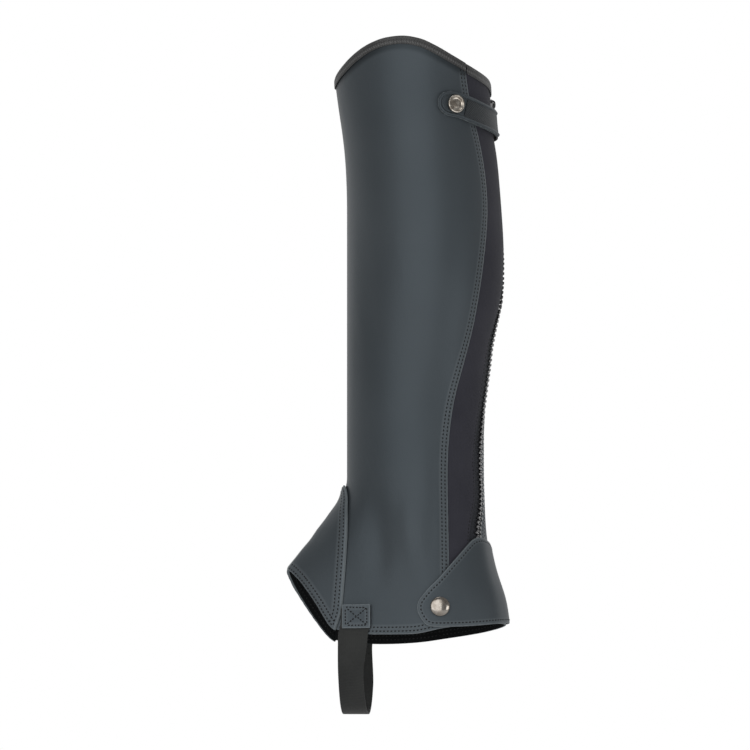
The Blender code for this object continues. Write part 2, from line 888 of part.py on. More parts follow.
def slider_frame():
    """The slider's place: X runs across the zip, Y outward and Z up it, from the middle of its foot."""
    angle = zip_angle(SLIDER_FOOT)
    origin = shell_point(angle, SLIDER_FOOT)
    across = shell_point(angle - 0.5, SLIDER_FOOT) - shell_point(angle + 0.5, SLIDER_FOOT)
    across.z = 0
    across.normalize()
    up = Vector((0, 0, 1))
    turn = Matrix((across, up.cross(across), up)).transposed().to_4x4()
    return Matrix.Translation(origin * MM) @ turn


def make_slider(material):
    """The slider's body with its bridge, which holds the pull."""
    foot, top, length = SLIDER_FOOT_HALF, SLIDER_TOP_HALF, SLIDER_LENGTH
    outline = [(-foot + 0.8, 0), (foot - 0.8, 0), (foot, 0.9), (foot, 4.5)]
    outline += [(top, 7.5), (top, length - 1.8), (top - 1.6, length)]
    outline += [(-top + 1.6, length), (-top, length - 1.8), (-top, 7.5), (-foot, 4.5), (-foot, 0.9)]
    body = bmesh.new()
    plate(body, outline, SLIDER_SEAT, SLIDER_RISE, lambda x, z, y: Vector((x, y, z)))
    bridge = bmesh.new()
    arch = [(3.2, 2.4), (3.6, 5.4), (4.8, 6.6), (9.0, 6.6), (10.2, 5.4), (10.6, 2.4)]
    arch += [(8.9, 2.4), (8.9, 4.9), (8.5, 5.4), (5.4, 5.4), (5.1, 4.9), (5.1, 2.4)]
    plate(bridge, arch, -BRIDGE_HALF, BRIDGE_HALF, lambda z, y, x: Vector((x, y, z)))
    place = slider_frame()
    cutter = make_object("slider_bridge", bridge, material, place, smooth=False)
    slider = make_object("zip_slider", body, material, place, smooth=False)
    join = slider.modifiers.new("bridge", "BOOLEAN")
    join.operation = "UNION"
    join.solver = "EXACT"
    join.object = cutter
    cutter.hide_render = True
    cutter.display_type = "WIRE"
    return slider


def make_pull(material):
    """The pull tab: a bar under the bridge, two arms past its sides and a short blade."""
    half_bar = PULL_BAR / 2
    half, window = PULL_HALF, PULL_WINDOW_HALF
    blade = PULL_LENGTH
    shape = bmesh.new()
    outer = [(-half + 0.7, half_bar), (half - 0.7, half_bar), (half, 0), (half, -blade + 2.2)]
    outer += [(half - 0.9, -blade + 0.6), (1.2, -blade), (-1.2, -blade)]
    outer += [(-half + 0.9, -blade + 0.6), (-half, -blade + 2.2), (-half, 0)]
    inner = [(-window, -half_bar), (window, -half_bar), (window, -PULL_WINDOW), (-window, -PULL_WINDOW)]
    layers = []
    for y in (half_bar, -half_bar):
        layers.append([[shape.verts.new(Vector((x, y, z)) * MM) for x, z in line] for line in (outer, inner)])
    # Each face is a ring between the outline and the window, in four pieces.
    for outline, hole in layers:
        a, b, c, d = hole
        shape.faces.new((outline[0], outline[1], outline[2], b, a, outline[9]))
        shape.faces.new((outline[2], outline[3], outline[4], c, b))
        shape.faces.new((outline[4], outline[5], outline[6], outline[7], d, c))
        shape.faces.new((outline[7], outline[8], outline[9], a, d))
    for upper, lower in zip(*layers):
        for i in range(len(upper)):
            j = (i + 1) % len(upper)
            shape.faces.new((upper[i], upper[j], lower[j], lower[i]))
    pivot = Matrix.Translation(Vector((0, PIVOT_OUT, PIVOT_UP)) * MM)
    return make_object("zip_pull", shape, material, slider_frame() @ pivot, smooth=False)


def clear_scene():
    for thing in list(bpy.data.objects):
        bpy.data.objects.remove(thing, do_unlink=True)


def build():
    clear_scene()
    leather = make_material("smooth black leather", (0.055, 0.062, 0.066), 0.52)
    stretch = make_material("dark stretch fabric", (0.026, 0.027, 0.034), 0.85)
    woven = make_material("ribbed black elastic", (0.030, 0.031, 0.031), 0.8)
    tape = make_material("woven zip tape", (0.022, 0.023, 0.026), 0.8)
    teeth = make_material("black moulded teeth", (0.030, 0.030, 0.032), 0.35)
    lacquer = make_material("black lacquered metal", (0.02, 0.02, 0.022), 0.25, 0.6)
    nickel = make_material("bright nickel", (0.72, 0.69, 0.65), 0.18, 1.0)
    antique = make_material("antique nickel", (0.45, 0.43, 0.40), 0.28, 1.0)

    make_main_panel(leather)
    make_gusset(leather)

    seam_gap = to_degrees(SEAM_GAP)
    make_side_panel(
        "stretch_panel",
        lambda z: stretch_seam(z) + seam_gap,
        zip_edge_outer,
        12,
        STRETCH_BINDING + FOLD_GAP,
        (STRETCH_FACE, STRETCH_FABRIC),
        stretch,
    )
    tape_faces = (TAPE_FACE, TAPE_FACE - ZIP_TAPE)
    make_tape(
        "zip_tape_outer",
        lambda z: zip_edge_outer(z) + to_degrees(TAPE_GAP),
        lambda z: zip_angle(z) - seam_gap / 2,
        TAPE_FOOT,
        TAPE_TOP,
        tape_faces,
        tape,
    )
    make_tape(
        "zip_tape_inner",
        lambda z: zip_angle(z) + seam_gap / 2,
        lambda z: zip_edge_inner(z) - to_degrees(TAPE_GAP),
        TAPE_FOOT,
        TAPE_TOP,
        tape_faces,
        tape,
    )
    half_chain = to_degrees(CHAIN_WIDTH / 2)
    make_tape(
        "zip_chain",
        lambda z: zip_angle(z) - half_chain,
        lambda z: zip_angle(z) + half_chain,
        CHAIN_FOOT,
        CHAIN_TOP,
        (CHAIN_RISE, TAPE_FACE + CHAIN_GAP),
        teeth,
    )
    make_slider(lacquer)
    make_pull(lacquer)

    top = top_edge(STRETCH_SEAM_TOP_ANGLE)
    seam_at_top = angle_at(stretch_seam_y(top), top)
    inner_end = ROUND_BACK + zip_edge_inner(TAPE_TOP) - BACK
    make_binding(
        "top_binding",
        np.linspace(inner_end + BINDING_END, seam_at_top, 66),
        0.0,
        LEATHER,
        BINDING,
        BINDING_WIDTH,
        woven,
    )
    make_binding(
        "stretch_binding",
        np.linspace(seam_at_top + BINDING_PARTS, zip_edge_outer(TAPE_TOP) + STRETCH_BINDING_PAST, 12),
        STRETCH_FACE,
        STRETCH_FABRIC,
        STRETCH_BINDING,
        STRETCH_BINDING_WIDTH,
        woven,
    )

    make_flap(leather)
    make_ankle_snap(nickel)
    make_tab(leather)
    make_tab_inset(tape)
    make_tab_snap(antique)
    make_tab_elastic(woven)
    make_tab_patch(leather)
    make_boot_strap(woven)
    make_strap_patch("strap_patch_outer", 1, 0.0, leather)
    make_strap_patch("strap_patch_inner", -1, STRAP_SHIFT, leather)


build()
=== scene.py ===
import math
import random

import bmesh
import bpy
import numpy as np
from mathutils import Matrix, Vector
from mathutils.bvhtree import BVHTree


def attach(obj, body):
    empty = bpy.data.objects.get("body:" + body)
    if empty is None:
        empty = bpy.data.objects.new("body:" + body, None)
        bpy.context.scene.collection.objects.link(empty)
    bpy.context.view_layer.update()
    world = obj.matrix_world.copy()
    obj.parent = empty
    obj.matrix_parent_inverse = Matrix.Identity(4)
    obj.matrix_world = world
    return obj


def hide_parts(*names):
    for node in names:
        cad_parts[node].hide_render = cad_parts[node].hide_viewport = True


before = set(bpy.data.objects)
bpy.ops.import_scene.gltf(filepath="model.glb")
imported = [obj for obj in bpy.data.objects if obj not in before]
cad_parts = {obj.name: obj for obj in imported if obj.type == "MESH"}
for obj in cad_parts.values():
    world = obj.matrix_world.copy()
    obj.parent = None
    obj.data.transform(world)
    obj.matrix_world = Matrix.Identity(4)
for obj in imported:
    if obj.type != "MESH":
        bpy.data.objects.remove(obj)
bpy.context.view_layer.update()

# Dresses the solids of a leather riding half chap: cut leather, stretch fabric, elastic, zip, studs and sewing.
# Distances in the tables are in millimetres and angles in degrees round the leg (0 outer side, 90 back).

mm = 0.001
legRadius = 54.0  # what one degree round the leg is measured on
legMiddle = -2.0  # how far back the axis is that the angles turn round
strapLoop = {"middle": -293.0, "radius": 52.0}  # the height that the boot strap turns round, and its size there
smoothStep = {"interpolation_type": "SMOOTHSTEP"}
inColour = {"data_type": "RGBA"}
random.seed(11)


def fromHex(text):
    # sRGB hex to the linear values that a colour socket takes
    channels = [int(text[i:i + 2], 16) / 255 for i in (0, 2, 4)]
    return (*[c / 12.92 if c <= 0.04045 else ((c + 0.055) / 1.055) ** 2.4 for c in channels], 1.0)


def addNode(tree, kind, settings=None, inputs=None, out=0):
    # a shader node with its settings, and with values or other nodes' outputs on its inputs; gives one output
    node = tree.nodes.new("ShaderNode" + kind)
    for name, value in (settings or {}).items():
        setattr(node, name, value)
    for name, value in (inputs or {}).items():
        if isinstance(value, bpy.types.NodeSocket):
            tree.links.new(value, node.inputs[name])
        else:
            node.inputs[name].default_value = value
    return node.outputs[out]


def startMaterial(name, sockets):
    material = bpy.data.materials.new(name)
    material.use_nodes = True
    tree = material.node_tree
    shader = tree.nodes["Principled BSDF"]
    for socket, value in sockets.items():
        shader.inputs[socket].default_value = value
    return material, tree, shader


def makeLeather(name, look):
    # Aniline-dyed cowhide, waxed: slate black that greys where it is stretched, with a fine closed grain and a soft
    # broad shine. Sewn rows press a shallow furrow into it, and cut edges show a paler line. Painted light: the leather
    # beside sewn rows is painted paler as a highlight of its puff, a fold can get a pale painted highlight, and a
    # binding can get painted shade below it.
    material, tree, shader = startMaterial(name, {"IOR": 1.5, "Specular IOR Level": look["shine"],
                                                  "Specular Tint": fromHex(look["shineTone"])})
    place = addNode(tree, "TexCoord", out="Object")
    # clouds about 70 mm across, where the dye took more or less
    clouds = addNode(tree, "TexNoise", None, {"Vector": place, "Scale": 14.0, "Detail": 1.0})
    tint = addNode(tree, "MapRange", None, {"Value": clouds, "From Min": 0.3, "From Max": 0.7})
    body = addNode(tree, "Mix", inColour, {0: tint, 6: fromHex(look["deep"]), 7: fromHex(look["pale"])}, 2)
    # grain: pebbles about 0.9 mm across under a creep of 2 mm; the real ones are about 0.4 mm, too fine to show
    pebbles = addNode(tree, "TexVoronoi", {"feature": "SMOOTH_F1"},
                      {"Vector": place, "Scale": 1100.0, "Smoothness": 0.6})
    creep = addNode(tree, "TexNoise", None, {"Vector": place, "Scale": 520.0, "Detail": 3.0})
    grain = addNode(tree, "Math", {"operation": "ADD"}, {0: pebbles, 1: creep})
    height = addNode(tree, "Math", {"operation": "MULTIPLY"}, {0: grain, 1: look["grain"] * mm})
    # the "seam" map gives how far each place is from the nearest sewn edge
    seam = addNode(tree, "UVMap", {"uv_map": "seam"})
    away = addNode(tree, "SeparateXYZ", None, {0: seam}, "Y")
    for row in look["rows"]:
        signed = addNode(tree, "Math", {"operation": "SUBTRACT"}, {0: away, 1: row})
        off = addNode(tree, "Math", {"operation": "ABSOLUTE"}, {0: signed})
        pressed = addNode(tree, "MapRange", smoothStep,
                          {"Value": off, "From Min": 0.0, "From Max": look["furrow"], "To Min": 1.0, "To Max": 0.0})
        sunk = addNode(tree, "Math", {"operation": "MULTIPLY"}, {0: pressed, 1: -look["furrowDeep"] * mm})
        height = addNode(tree, "Math", {"operation": "ADD"}, {0: height, 1: sunk})
    # painted highlight: the band beside the sewn rows is painted paler, for puffed leather catching the light
    seamHighlight = addNode(tree, "MapRange", smoothStep,
                     {"Value": away, "From Min": look["seamHighlightWide"], "From Max": look["seamHighlightWide"] + look["seamHighlightRun"],
                      "To Min": look["seamHighlightShare"], "To Max": 0.0})
    body = addNode(tree, "Mix", inColour, {0: seamHighlight, 6: body, 7: fromHex(look["wearAndHighlightTone"])}, 2)
    edge = addNode(tree, "MapRange", smoothStep,
                   {"Value": away, "From Min": 0.0, "From Max": look["wornWide"],
                    "To Min": look["edgeWear"], "To Max": 0.0})
    body = addNode(tree, "Mix", inColour, {0: edge, 6: body, 7: fromHex(look["wearAndHighlightTone"])}, 2)
    if look["fold"]:
        # painted highlight: a pale line painted along the instep's fold, where the folded edge catches the light; the
        # fold is where the piece crosses the leg's middle plane
        side = addNode(tree, "SeparateXYZ", None, {0: place}, "X")
        flat = addNode(tree, "Math", {"operation": "ABSOLUTE"}, {0: side})
        foldHighlight = addNode(tree, "MapRange", smoothStep,
                          {"Value": flat, "From Min": look["foldCore"] * mm, "From Max": look["fold"] * mm,
                           "To Min": look["foldHighlightShare"], "To Max": 0.0})
        body = addNode(tree, "Mix", inColour, {0: foldHighlight, 6: body, 7: fromHex(look["foldHighlightTone"])}, 2)
    if look["bound"]:
        # painted shade: a dark line painted just below the binding's edge, with painted shade running out below it
        bound = addNode(tree, "UVMap", {"uv_map": "bound"})
        below = addNode(tree, "SeparateXYZ", None, {0: bound}, "Y")
        shade = addNode(tree, "MapRange", {"interpolation_type": "SMOOTHERSTEP"},
                        {"Value": below, "From Min": look["bound"], "From Max": look["bound"] + look["boundRun"],
                         "To Min": look["boundShadeShare"], "To Max": 0.0})
        body = addNode(tree, "Mix", inColour, {0: shade, 6: body, 7: fromHex(look["boundShadeTone"])}, 2)
    tree.links.new(body, shader.inputs["Base Color"])
    rough = addNode(tree, "MapRange", None, {"Value": creep, "To Min": look["rough"] - look["roughDrift"],
                                             "To Max": look["rough"] + look["roughDrift"]})
    tree.links.new(rough, shader.inputs["Roughness"])
    bump = addNode(tree, "Bump", None, {"Height": height, "Strength": 0.6, "Distance": 1.0})
    tree.links.new(bump, shader.inputs["Normal"])
    return material


def makeCloth(name, look):
    # A woven or knitted cloth: ribs and picks that follow one of the piece's own maps, a slow drift and fuzz.
    material, tree, shader = startMaterial(
        name, {"IOR": 1.45, "Roughness": look["rough"], "Sheen Weight": look["sheen"], "Sheen Roughness": 0.5,
               "Specular IOR Level": look["shine"]})
    place = addNode(tree, "TexCoord", out="Object")
    lay = addNode(tree, "UVMap", {"uv_map": look["map"]})
    along = addNode(tree, "SeparateXYZ", None, {0: lay}, "X")
    across = addNode(tree, "SeparateXYZ", None, {0: lay}, "Y")
    # the ribs lean where the weave does: each slant adds that much of the other direction
    leaned = addNode(tree, "Math", {"operation": "MULTIPLY_ADD"}, {0: across, 1: look["slant"], 2: along})
    ribTurn = addNode(tree, "Math", {"operation": "MULTIPLY"}, {0: leaned, 1: math.tau / look["alongPitch"]})
    pickTurn = addNode(tree, "Math", {"operation": "MULTIPLY"}, {0: across, 1: math.tau / look["acrossPitch"]})
    ribs = addNode(tree, "Math", {"operation": "SINE"}, {0: ribTurn})
    picks = addNode(tree, "Math", {"operation": "SINE"}, {0: pickTurn})
    knots = addNode(tree, "Math", {"operation": "MULTIPLY"}, {0: ribs, 1: picks})
    ribShare = addNode(tree, "Math", {"operation": "MULTIPLY"}, {0: ribs, 1: look["ribShare"]})
    pickShare = addNode(tree, "Math", {"operation": "MULTIPLY_ADD"}, {0: picks, 1: look["pickShare"], 2: ribShare})
    weave = addNode(tree, "Math", {"operation": "MULTIPLY_ADD"}, {0: knots, 1: look["knotShare"], 2: pickShare})
    # fuzz of about 1.4 mm and a drift of about 33 mm
    fuzz = addNode(tree, "TexNoise", None, {"Vector": place, "Scale": 700.0, "Detail": 3.0})
    drift = addNode(tree, "TexNoise", None, {"Vector": place, "Scale": 30.0, "Detail": 2.0})
    tone = addNode(tree, "Math", {"operation": "MULTIPLY_ADD"}, {0: weave, 1: look["contrast"], 2: drift})
    tone = addNode(tree, "Math", {"operation": "MULTIPLY_ADD"}, {0: fuzz, 1: look["fuzzTone"], 2: tone})
    tint = addNode(tree, "MapRange", smoothStep, {"Value": tone, "From Min": 0.2, "From Max": 1.1})
    colour = addNode(tree, "Mix", inColour, {0: tint, 6: fromHex(look["deep"]), 7: fromHex(look["pale"])}, 2)
    if look["facing"]:
        # beside the cut edges the leather is turned in, smooth and a little paler than the lining
        seam = addNode(tree, "UVMap", {"uv_map": "seam"})
        away = addNode(tree, "SeparateXYZ", None, {0: seam}, "Y")
        turned = addNode(tree, "MapRange", smoothStep,
                         {"Value": away, "From Min": look["facing"], "From Max": look["facing"] + 0.5,
                          "To Min": 1.0, "To Max": 0.0})
        colour = addNode(tree, "Mix", inColour, {0: turned, 6: colour, 7: fromHex(look["facingTone"])}, 2)
    tree.links.new(colour, shader.inputs["Base Color"])
    relief = addNode(tree, "Math", {"operation": "MULTIPLY"}, {0: weave, 1: look["relief"] * mm})
    height = addNode(tree, "Math", {"operation": "MULTIPLY_ADD"}, {0: fuzz, 1: look["fuzzRelief"] * mm, 2: relief})
    bump = addNode(tree, "Bump", None, {"Height": height, "Strength": 0.8, "Distance": 1.0})
    tree.links.new(bump, shader.inputs["Normal"])
    return material


def makeMetal(name, look):
    # Plated or lacquered zinc: smooth, with faint handling marks in its shine.
    material, tree, shader = startMaterial(name, {"Metallic": look["metallic"], "Coat Weight": look["coat"],
                                                  "Coat Roughness": 0.08})
    place = addNode(tree, "TexCoord", out="Object")
    stain = addNode(tree, "TexNoise", None, {"Vector": place, "Scale": 240.0, "Detail": 2.0})  # about 4 mm
    tarnish = addNode(tree, "MapRange", smoothStep, {"Value": stain, "From Min": 0.4, "From Max": 0.62})
    colour = addNode(tree, "Mix", inColour, {0: tarnish, 6: fromHex(look["pale"]), 7: fromHex(look["deep"])}, 2)
    tree.links.new(colour, shader.inputs["Base Color"])
    rough = addNode(tree, "MapRange", None, {"Value": stain, "From Min": 0.3, "From Max": 0.75,
                                             "To Min": look["rough"], "To Max": look["rough"] + look["dull"]})
    tree.links.new(rough, shader.inputs["Roughness"])
    return material


def makePlain(name, look):
    # Thread, the painted shade of needle holes, moulded teeth and studio paper: one colour with a little drift.
    material, tree, shader = startMaterial(name, {"Roughness": look["rough"], "IOR": look["ior"],
                                                  "Coat Weight": look.get("coat", 0.0), "Coat Roughness": 0.12})
    place = addNode(tree, "TexCoord", out="Object")
    drift = addNode(tree, "TexNoise", None, {"Vector": place, "Scale": 500.0, "Detail": 2.0})  # about 2 mm
    colour = addNode(tree, "Mix", inColour, {0: drift, 6: fromHex(look["deep"]), 7: fromHex(look["pale"])}, 2)
    tree.links.new(colour, shader.inputs["Base Color"])
    return material


# widths and depths in mm; rows are the furrows' distances from the edge, and fold and bound are 0 where there is none
smoothLeather = {"deep": "303437", "pale": "373b3e", "wearAndHighlightTone": "71777a", "shineTone": "d2e4f0", "edgeWear": 0.55,
                 "wornWide": 1.1, "rough": 0.47, "roughDrift": 0.03, "shine": 0.5, "grain": 0.05, "rows": (2.3, 5.2),
                 "furrow": 1.0, "furrowDeep": 0.14, "seamHighlightWide": 6.4, "seamHighlightRun": 1.5, "seamHighlightShare": 0.14,
                 "fold": 0.0, "foldCore": 0.2, "foldHighlightShare": 0.85, "foldHighlightTone": "949997",
                 "bound": 0.0, "boundRun": 5.0, "boundShadeShare": 0.75, "boundShadeTone": "0c0e0f"}
leather = makeLeather("waxed black cowhide", smoothLeather)
panelLeather = makeLeather("waxed black cowhide, painted shade under its top binding", {**smoothLeather, "bound": 6.0})
gussetLeather = makeLeather("waxed black cowhide, painted highlight on its fold", {**smoothLeather, "fold": 2.4, "rows": (1.8, 5.0)})
hemLeather = makeLeather("waxed black cowhide, one sewn row", {**smoothLeather, "rows": (2.7,), "seamHighlightWide": 3.4})
tabLeather = makeLeather("embossed black cowhide of the tab",
                         {**smoothLeather, "deep": "292c2e", "pale": "34383b", "rows": (3.0,), "furrow": 0.6,
                          "furrowDeep": 0.3, "grain": 0.12, "seamHighlightShare": 0.0, "edgeWear": 0.5, "wornWide": 0.5})
cutEdge = makeLeather("cut edge of cowhide, dyed through", {**smoothLeather, "deep": "45494b", "pale": "5e6365",
                                                            "rows": (), "rough": 0.7, "grain": 0.1, "edgeWear": 0.0})

# pitches, relief and facing in mm; real ribs and picks lie 0.5 to 0.8 mm apart, too fine to show, so they are coarser
plainWeave = {"map": "lay", "slant": 0.0, "alongPitch": 1.7, "acrossPitch": 1.7, "ribShare": 0.5, "pickShare": 0.0,
              "knotShare": 0.5, "contrast": 0.3, "relief": 0.05, "fuzzTone": 0.3, "fuzzRelief": 0.08,
              "facing": 0.0, "facingTone": "111314", "rough": 0.85, "sheen": 0.1, "shine": 0.3}
# flesh side, backed with a brushed lining that drinks the light
lining = makeCloth("brushed black lining", {**plainWeave, "deep": "0b0c0d", "pale": "151718", "rough": 0.95,
                                            "relief": 0.03, "shine": 0.12, "sheen": 0.03, "facing": 7.5})
stretchCloth = makeCloth("dark elastane jersey", {**plainWeave, "deep": "27272e", "pale": "323239", "sheen": 0.05,
                                                  "alongPitch": 1.6, "acrossPitch": 2.2, "contrast": 0.15, "shine": 0.2})
elastic = makeCloth("woven black elastic", {**plainWeave, "deep": "202121", "pale": "2f302f", "alongPitch": 1.5,
                                            "acrossPitch": 1.5, "relief": 0.08, "contrast": 0.35})
bandElastic = makeCloth("ribbed black binding", {**plainWeave, "map": "seam", "deep": "1c1c1c", "pale": "525252",
                                                 "alongPitch": 2.0, "slant": 0.8, "acrossPitch": 2.6, "ribShare": 0.2,
                                                 "pickShare": 0.35, "knotShare": 0.6, "contrast": 0.5, "relief": 0.14,
                                                 "rough": 0.6, "sheen": 0.05, "shine": 0.5})
tapeCloth = makeCloth("woven zip tape", {**plainWeave, "deep": "1e1f23", "pale": "2e3036", "alongPitch": 1.4,
                                         "acrossPitch": 1.6, "pickShare": 0.4, "ribShare": 0.1, "relief": 0.08})
insetCloth = makeCloth("pebbled black leatherette", {**plainWeave, "deep": "14181b", "pale": "2a3034", "rough": 0.6,
                                                     "alongPitch": 2.1, "acrossPitch": 1.9, "ribShare": 0.0,
                                                     "knotShare": 1.0, "relief": 0.12, "shine": 0.4})
brightNickel = makeMetal("bright nickel plate", {"metallic": 1.0, "coat": 0.0, "pale": "97918a", "deep": "857e76",
                                                 "rough": 0.13, "dull": 0.08})
oldNickel = makeMetal("antique nickel plate", {"metallic": 1.0, "coat": 0.0, "pale": "c4bdb3", "deep": "857d73",
                                               "rough": 0.2, "dull": 0.12})
blackLacquer = makeMetal("black lacquered zinc", {"metallic": 0.0, "coat": 0.6, "pale": "101012", "deep": "17171a",
                                                  "rough": 0.2, "dull": 0.1})
toothPlastic = makePlain("moulded black acetal", {"deep": "141517", "pale": "1f2022", "rough": 0.2, "ior": 1.5, "coat": 1.0})
thread = makePlain("bonded black thread", {"deep": "06080a", "pale": "0e1113", "rough": 0.7, "ior": 1.4})
# a near-black colour for the painted shade where the thread goes down into the leather
needleHoleShade = makePlain("painted shade of a needle hole", {"deep": "050506", "pale": "0a0b0c", "rough": 0.9, "ior": 1.4})
print("stage: materials made")

# from (round, up) to (round, up), how wide the soft edge is and how deep it goes: below 0 is a trough.
# A crease is at its full width and depth halfway along, and runs out to these shares of them at its ends.
creaseShape = {"endDeep": 0.35, "endWide": 0.7, "swell": 0.8}
creases = {
    "roundFrom": (-48, -13, 3, 19, -48, 14, -20, -165, -150, -178, -140, 75, 40, 62, 88, -205, -225),
    "upFrom": (-184, -188, -150, -150, 10, -90, 60, -150, -196, -120, 20, -140, -170, -196, -60, -150, -196),
    "roundTo": (-43, -9, 2, 17, -44, 4, 5, -192, -172, -168, -150, 52, 66, 80, 78, -226, -206),
    "upTo": (-240, -232, -222, -225, -70, -150, 20, -200, -250, -20, -60, -166, -186, -212, -110, -190, -240),
    "wide": (13, 11, 9, 5, 11, 14, 14, 8, 9, 7, 12, 5, 4, 5, 7, 6, 7),
    "deep": (-2.7, 1.6, 0.4, 0.4, -0.5, -0.4, -0.3, -1.0, -0.8, 0.5, -0.6, -0.5, 0.35, -0.4, 0.4, -0.6, 0.5),
}


def creaseDepth(places):
    # how far each place (in mm) moves out, as an array
    round_ = np.degrees(np.arctan2(places[:, 1] - legMiddle, places[:, 0]))
    moved = np.zeros(len(places))
    for r0, u0, r1, u1, wide, deep in zip(*creases.values()):
        across = (round_ - r0 + 180) % 360 - 180
        run = np.array([(r1 - r0) * math.radians(legRadius), u1 - u0])
        point = np.stack([across * math.radians(legRadius), places[:, 2] - u0], axis=1)
        share = np.clip(point @ run / (run @ run), 0, 1)
        off = np.linalg.norm(point - share[:, None] * run, axis=1)
        full = creaseShape["endDeep"] + (1 - creaseShape["endDeep"]) * np.sin(np.pi * share) ** creaseShape["swell"]
        reach = wide * (creaseShape["endWide"] + (1 - creaseShape["endWide"]) * full)
        moved += deep * full * np.exp(-((off / reach) ** 2))
    return moved


def placesOf(piece):
    # a piece's vertices, in mm
    places = np.empty(len(piece.data.vertices) * 3)
    piece.data.vertices.foreach_get("co", places)
    return places.reshape(-1, 3) / mm


def putPlaces(piece, places):
    piece.data.vertices.foreach_set("co", (places * mm).ravel())
    piece.data.update()


def moveOut(places, far):
    # moves places away from the leg's axis, each by its own distance
    out = places[:, :2] - np.array([0, legMiddle])
    places[:, :2] += out / np.linalg.norm(out, axis=1)[:, None] * far[:, None]


def turnRound(places, degrees):
    # places turned round the leg's axis, each by its own angle
    turn = np.radians(degrees)
    x, y = places[:, 0], places[:, 1] - legMiddle
    return np.stack([x * np.cos(turn) - y * np.sin(turn), x * np.sin(turn) + y * np.cos(turn) + legMiddle,
                     places[:, 2]], axis=1)


def eased(share):
    # 0 to 1 with a soft start and end
    share = np.clip(share, 0, 1)
    return share * share * (3 - 2 * share)


def pickNothing():
    for other in bpy.context.selected_objects:
        other.select_set(False)


def pickOnly(piece):
    pickNothing()
    piece.select_set(True)
    bpy.context.view_layer.objects.active = piece


def applyModifiers(piece):
    pickOnly(piece)
    for modifier in list(piece.modifiers):
        bpy.ops.object.modifier_apply(modifier=modifier.name)


def standFor(piece, node, body="chap"):
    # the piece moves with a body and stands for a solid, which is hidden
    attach(piece, body)
    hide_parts(node)


def outwardFrom(point, around):
    # away from the leg's axis, or from the middle of the strap's loop
    if around == "strap":
        return Vector((point.x, 0.0, point.z - strapLoop["middle"] * mm)).normalized()
    return Vector((point.x, point.y - legMiddle * mm, 0.0)).normalized()


cutEdgeShare = 0.12  # a run of faces with less of the piece's area than this is a cut edge


def sortFaces(bm, around, cutAngle):
    # faces joined by edges flatter than the angle are one sheet; gives each face 0 outside, 1 inside or 2 edge
    bm.faces.ensure_lookup_table()
    sheetOf = {}
    sheets = []
    for first in bm.faces:
        if first.index in sheetOf:
            continue
        sheet, waiting = [], [first]
        sheetOf[first.index] = len(sheets)
        while waiting:
            face = waiting.pop()
            sheet.append(face)
            for edge in face.edges:
                if len(edge.link_faces) == 2 and edge.calc_face_angle() < cutAngle:
                    for other in edge.link_faces:
                        if other.index not in sheetOf:
                            sheetOf[other.index] = len(sheets)
                            waiting.append(other)
        sheets.append(sheet)
    whole = sum(face.calc_area() for face in bm.faces)
    for sheet in sheets:
        area = sum(face.calc_area() for face in sheet)
        facing = sum(face.calc_area() * face.normal.dot(outwardFrom(face.calc_center_median(), around))
                     for face in sheet)
        kind = 2 if area < cutEdgeShare * whole else (0 if facing > 0 else 1)
        for face in sheet:
            face.material_index = kind


def liftNode(node, name, materials, look, around="leg", body="chap"):
    # A copy of a solid's mesh with rounded cut edges, smoothed, creased and laid out, that stands for the solid.
    piece = bpy.data.objects.new(name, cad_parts[node].data.copy())
    bpy.context.collection.objects.link(piece)
    bm = bmesh.new()
    bm.from_mesh(piece.data)
    bmesh.ops.remove_doubles(bm, verts=bm.verts, dist=1e-6)
    bmesh.ops.join_triangles(bm, faces=bm.faces, angle_face_threshold=0.6, angle_shape_threshold=1.4)
    cutAngle = math.radians(look.get("cutAngle", 50))
    sortFaces(bm, around, cutAngle)
    for edge in bm.edges:
        edge.smooth = True
    piece.data.materials.clear()
    for material in materials:
        piece.data.materials.append(material)
    bm.to_mesh(piece.data)
    bm.free()
    bevel = piece.modifiers.new("rounded edges", "BEVEL")
    bevel.limit_method = "ANGLE"
    bevel.angle_limit = cutAngle
    bevel.width = look["edge"] * mm
    bevel.segments = 2
    bevel.use_clamp_overlap = True
    if look["smooth"]:
        # a sharp fold on the leg's middle plane stays sharp through the smoothing
        if look.get("folded"):
            sharp = piece.data.attributes.new("crease_edge", "FLOAT", "EDGE")
            for edge in piece.data.edges:
                if all(abs(piece.data.vertices[i].co.x) < 0.02 * mm for i in edge.vertices):
                    sharp.data[edge.index].value = look["folded"]
        smooth = piece.modifiers.new("smooth", "SUBSURF")
        smooth.levels = smooth.render_levels = look["smooth"]
    applyModifiers(piece)
    places = placesOf(piece)
    if look.get("creased", True):
        moveOut(places, creaseDepth(places))
    putPlaces(piece, places)
    bpy.ops.object.shade_smooth()
    layOut(piece, places, around, look.get("turnAt", 90))
    standFor(piece, node, body)
    return piece


def layOut(piece, places, around, turnAt):
    # the "lay" map in millimetres: along the band or round the leg, and across it or up the leg
    if around == "strap":
        turn = np.arctan2(strapLoop["middle"] - places[:, 2], places[:, 0])
        along, up = turn * strapLoop["radius"], places[:, 1]
    else:
        turn = np.degrees(np.arctan2(places[:, 1] - legMiddle, places[:, 0]))
        turn = np.where(turn > turnAt, turn - 360, turn)  # where the map is cut open
        along, up = turn * math.radians(legRadius), places[:, 2]
    writeMap(piece, "lay", along, up)
    writeMap(piece, "seam", along * 0, along * 0 + 99)


def writeMap(piece, name, along, across):
    mesh = piece.data
    layer = mesh.uv_layers.get(name) or mesh.uv_layers.new(name=name)
    corners = np.empty(len(mesh.loops), dtype=int)
    mesh.loops.foreach_get("vertex_index", corners)
    values = np.stack([along[corners], across[corners]], axis=1)
    layer.uv.foreach_set("vector", values.ravel())


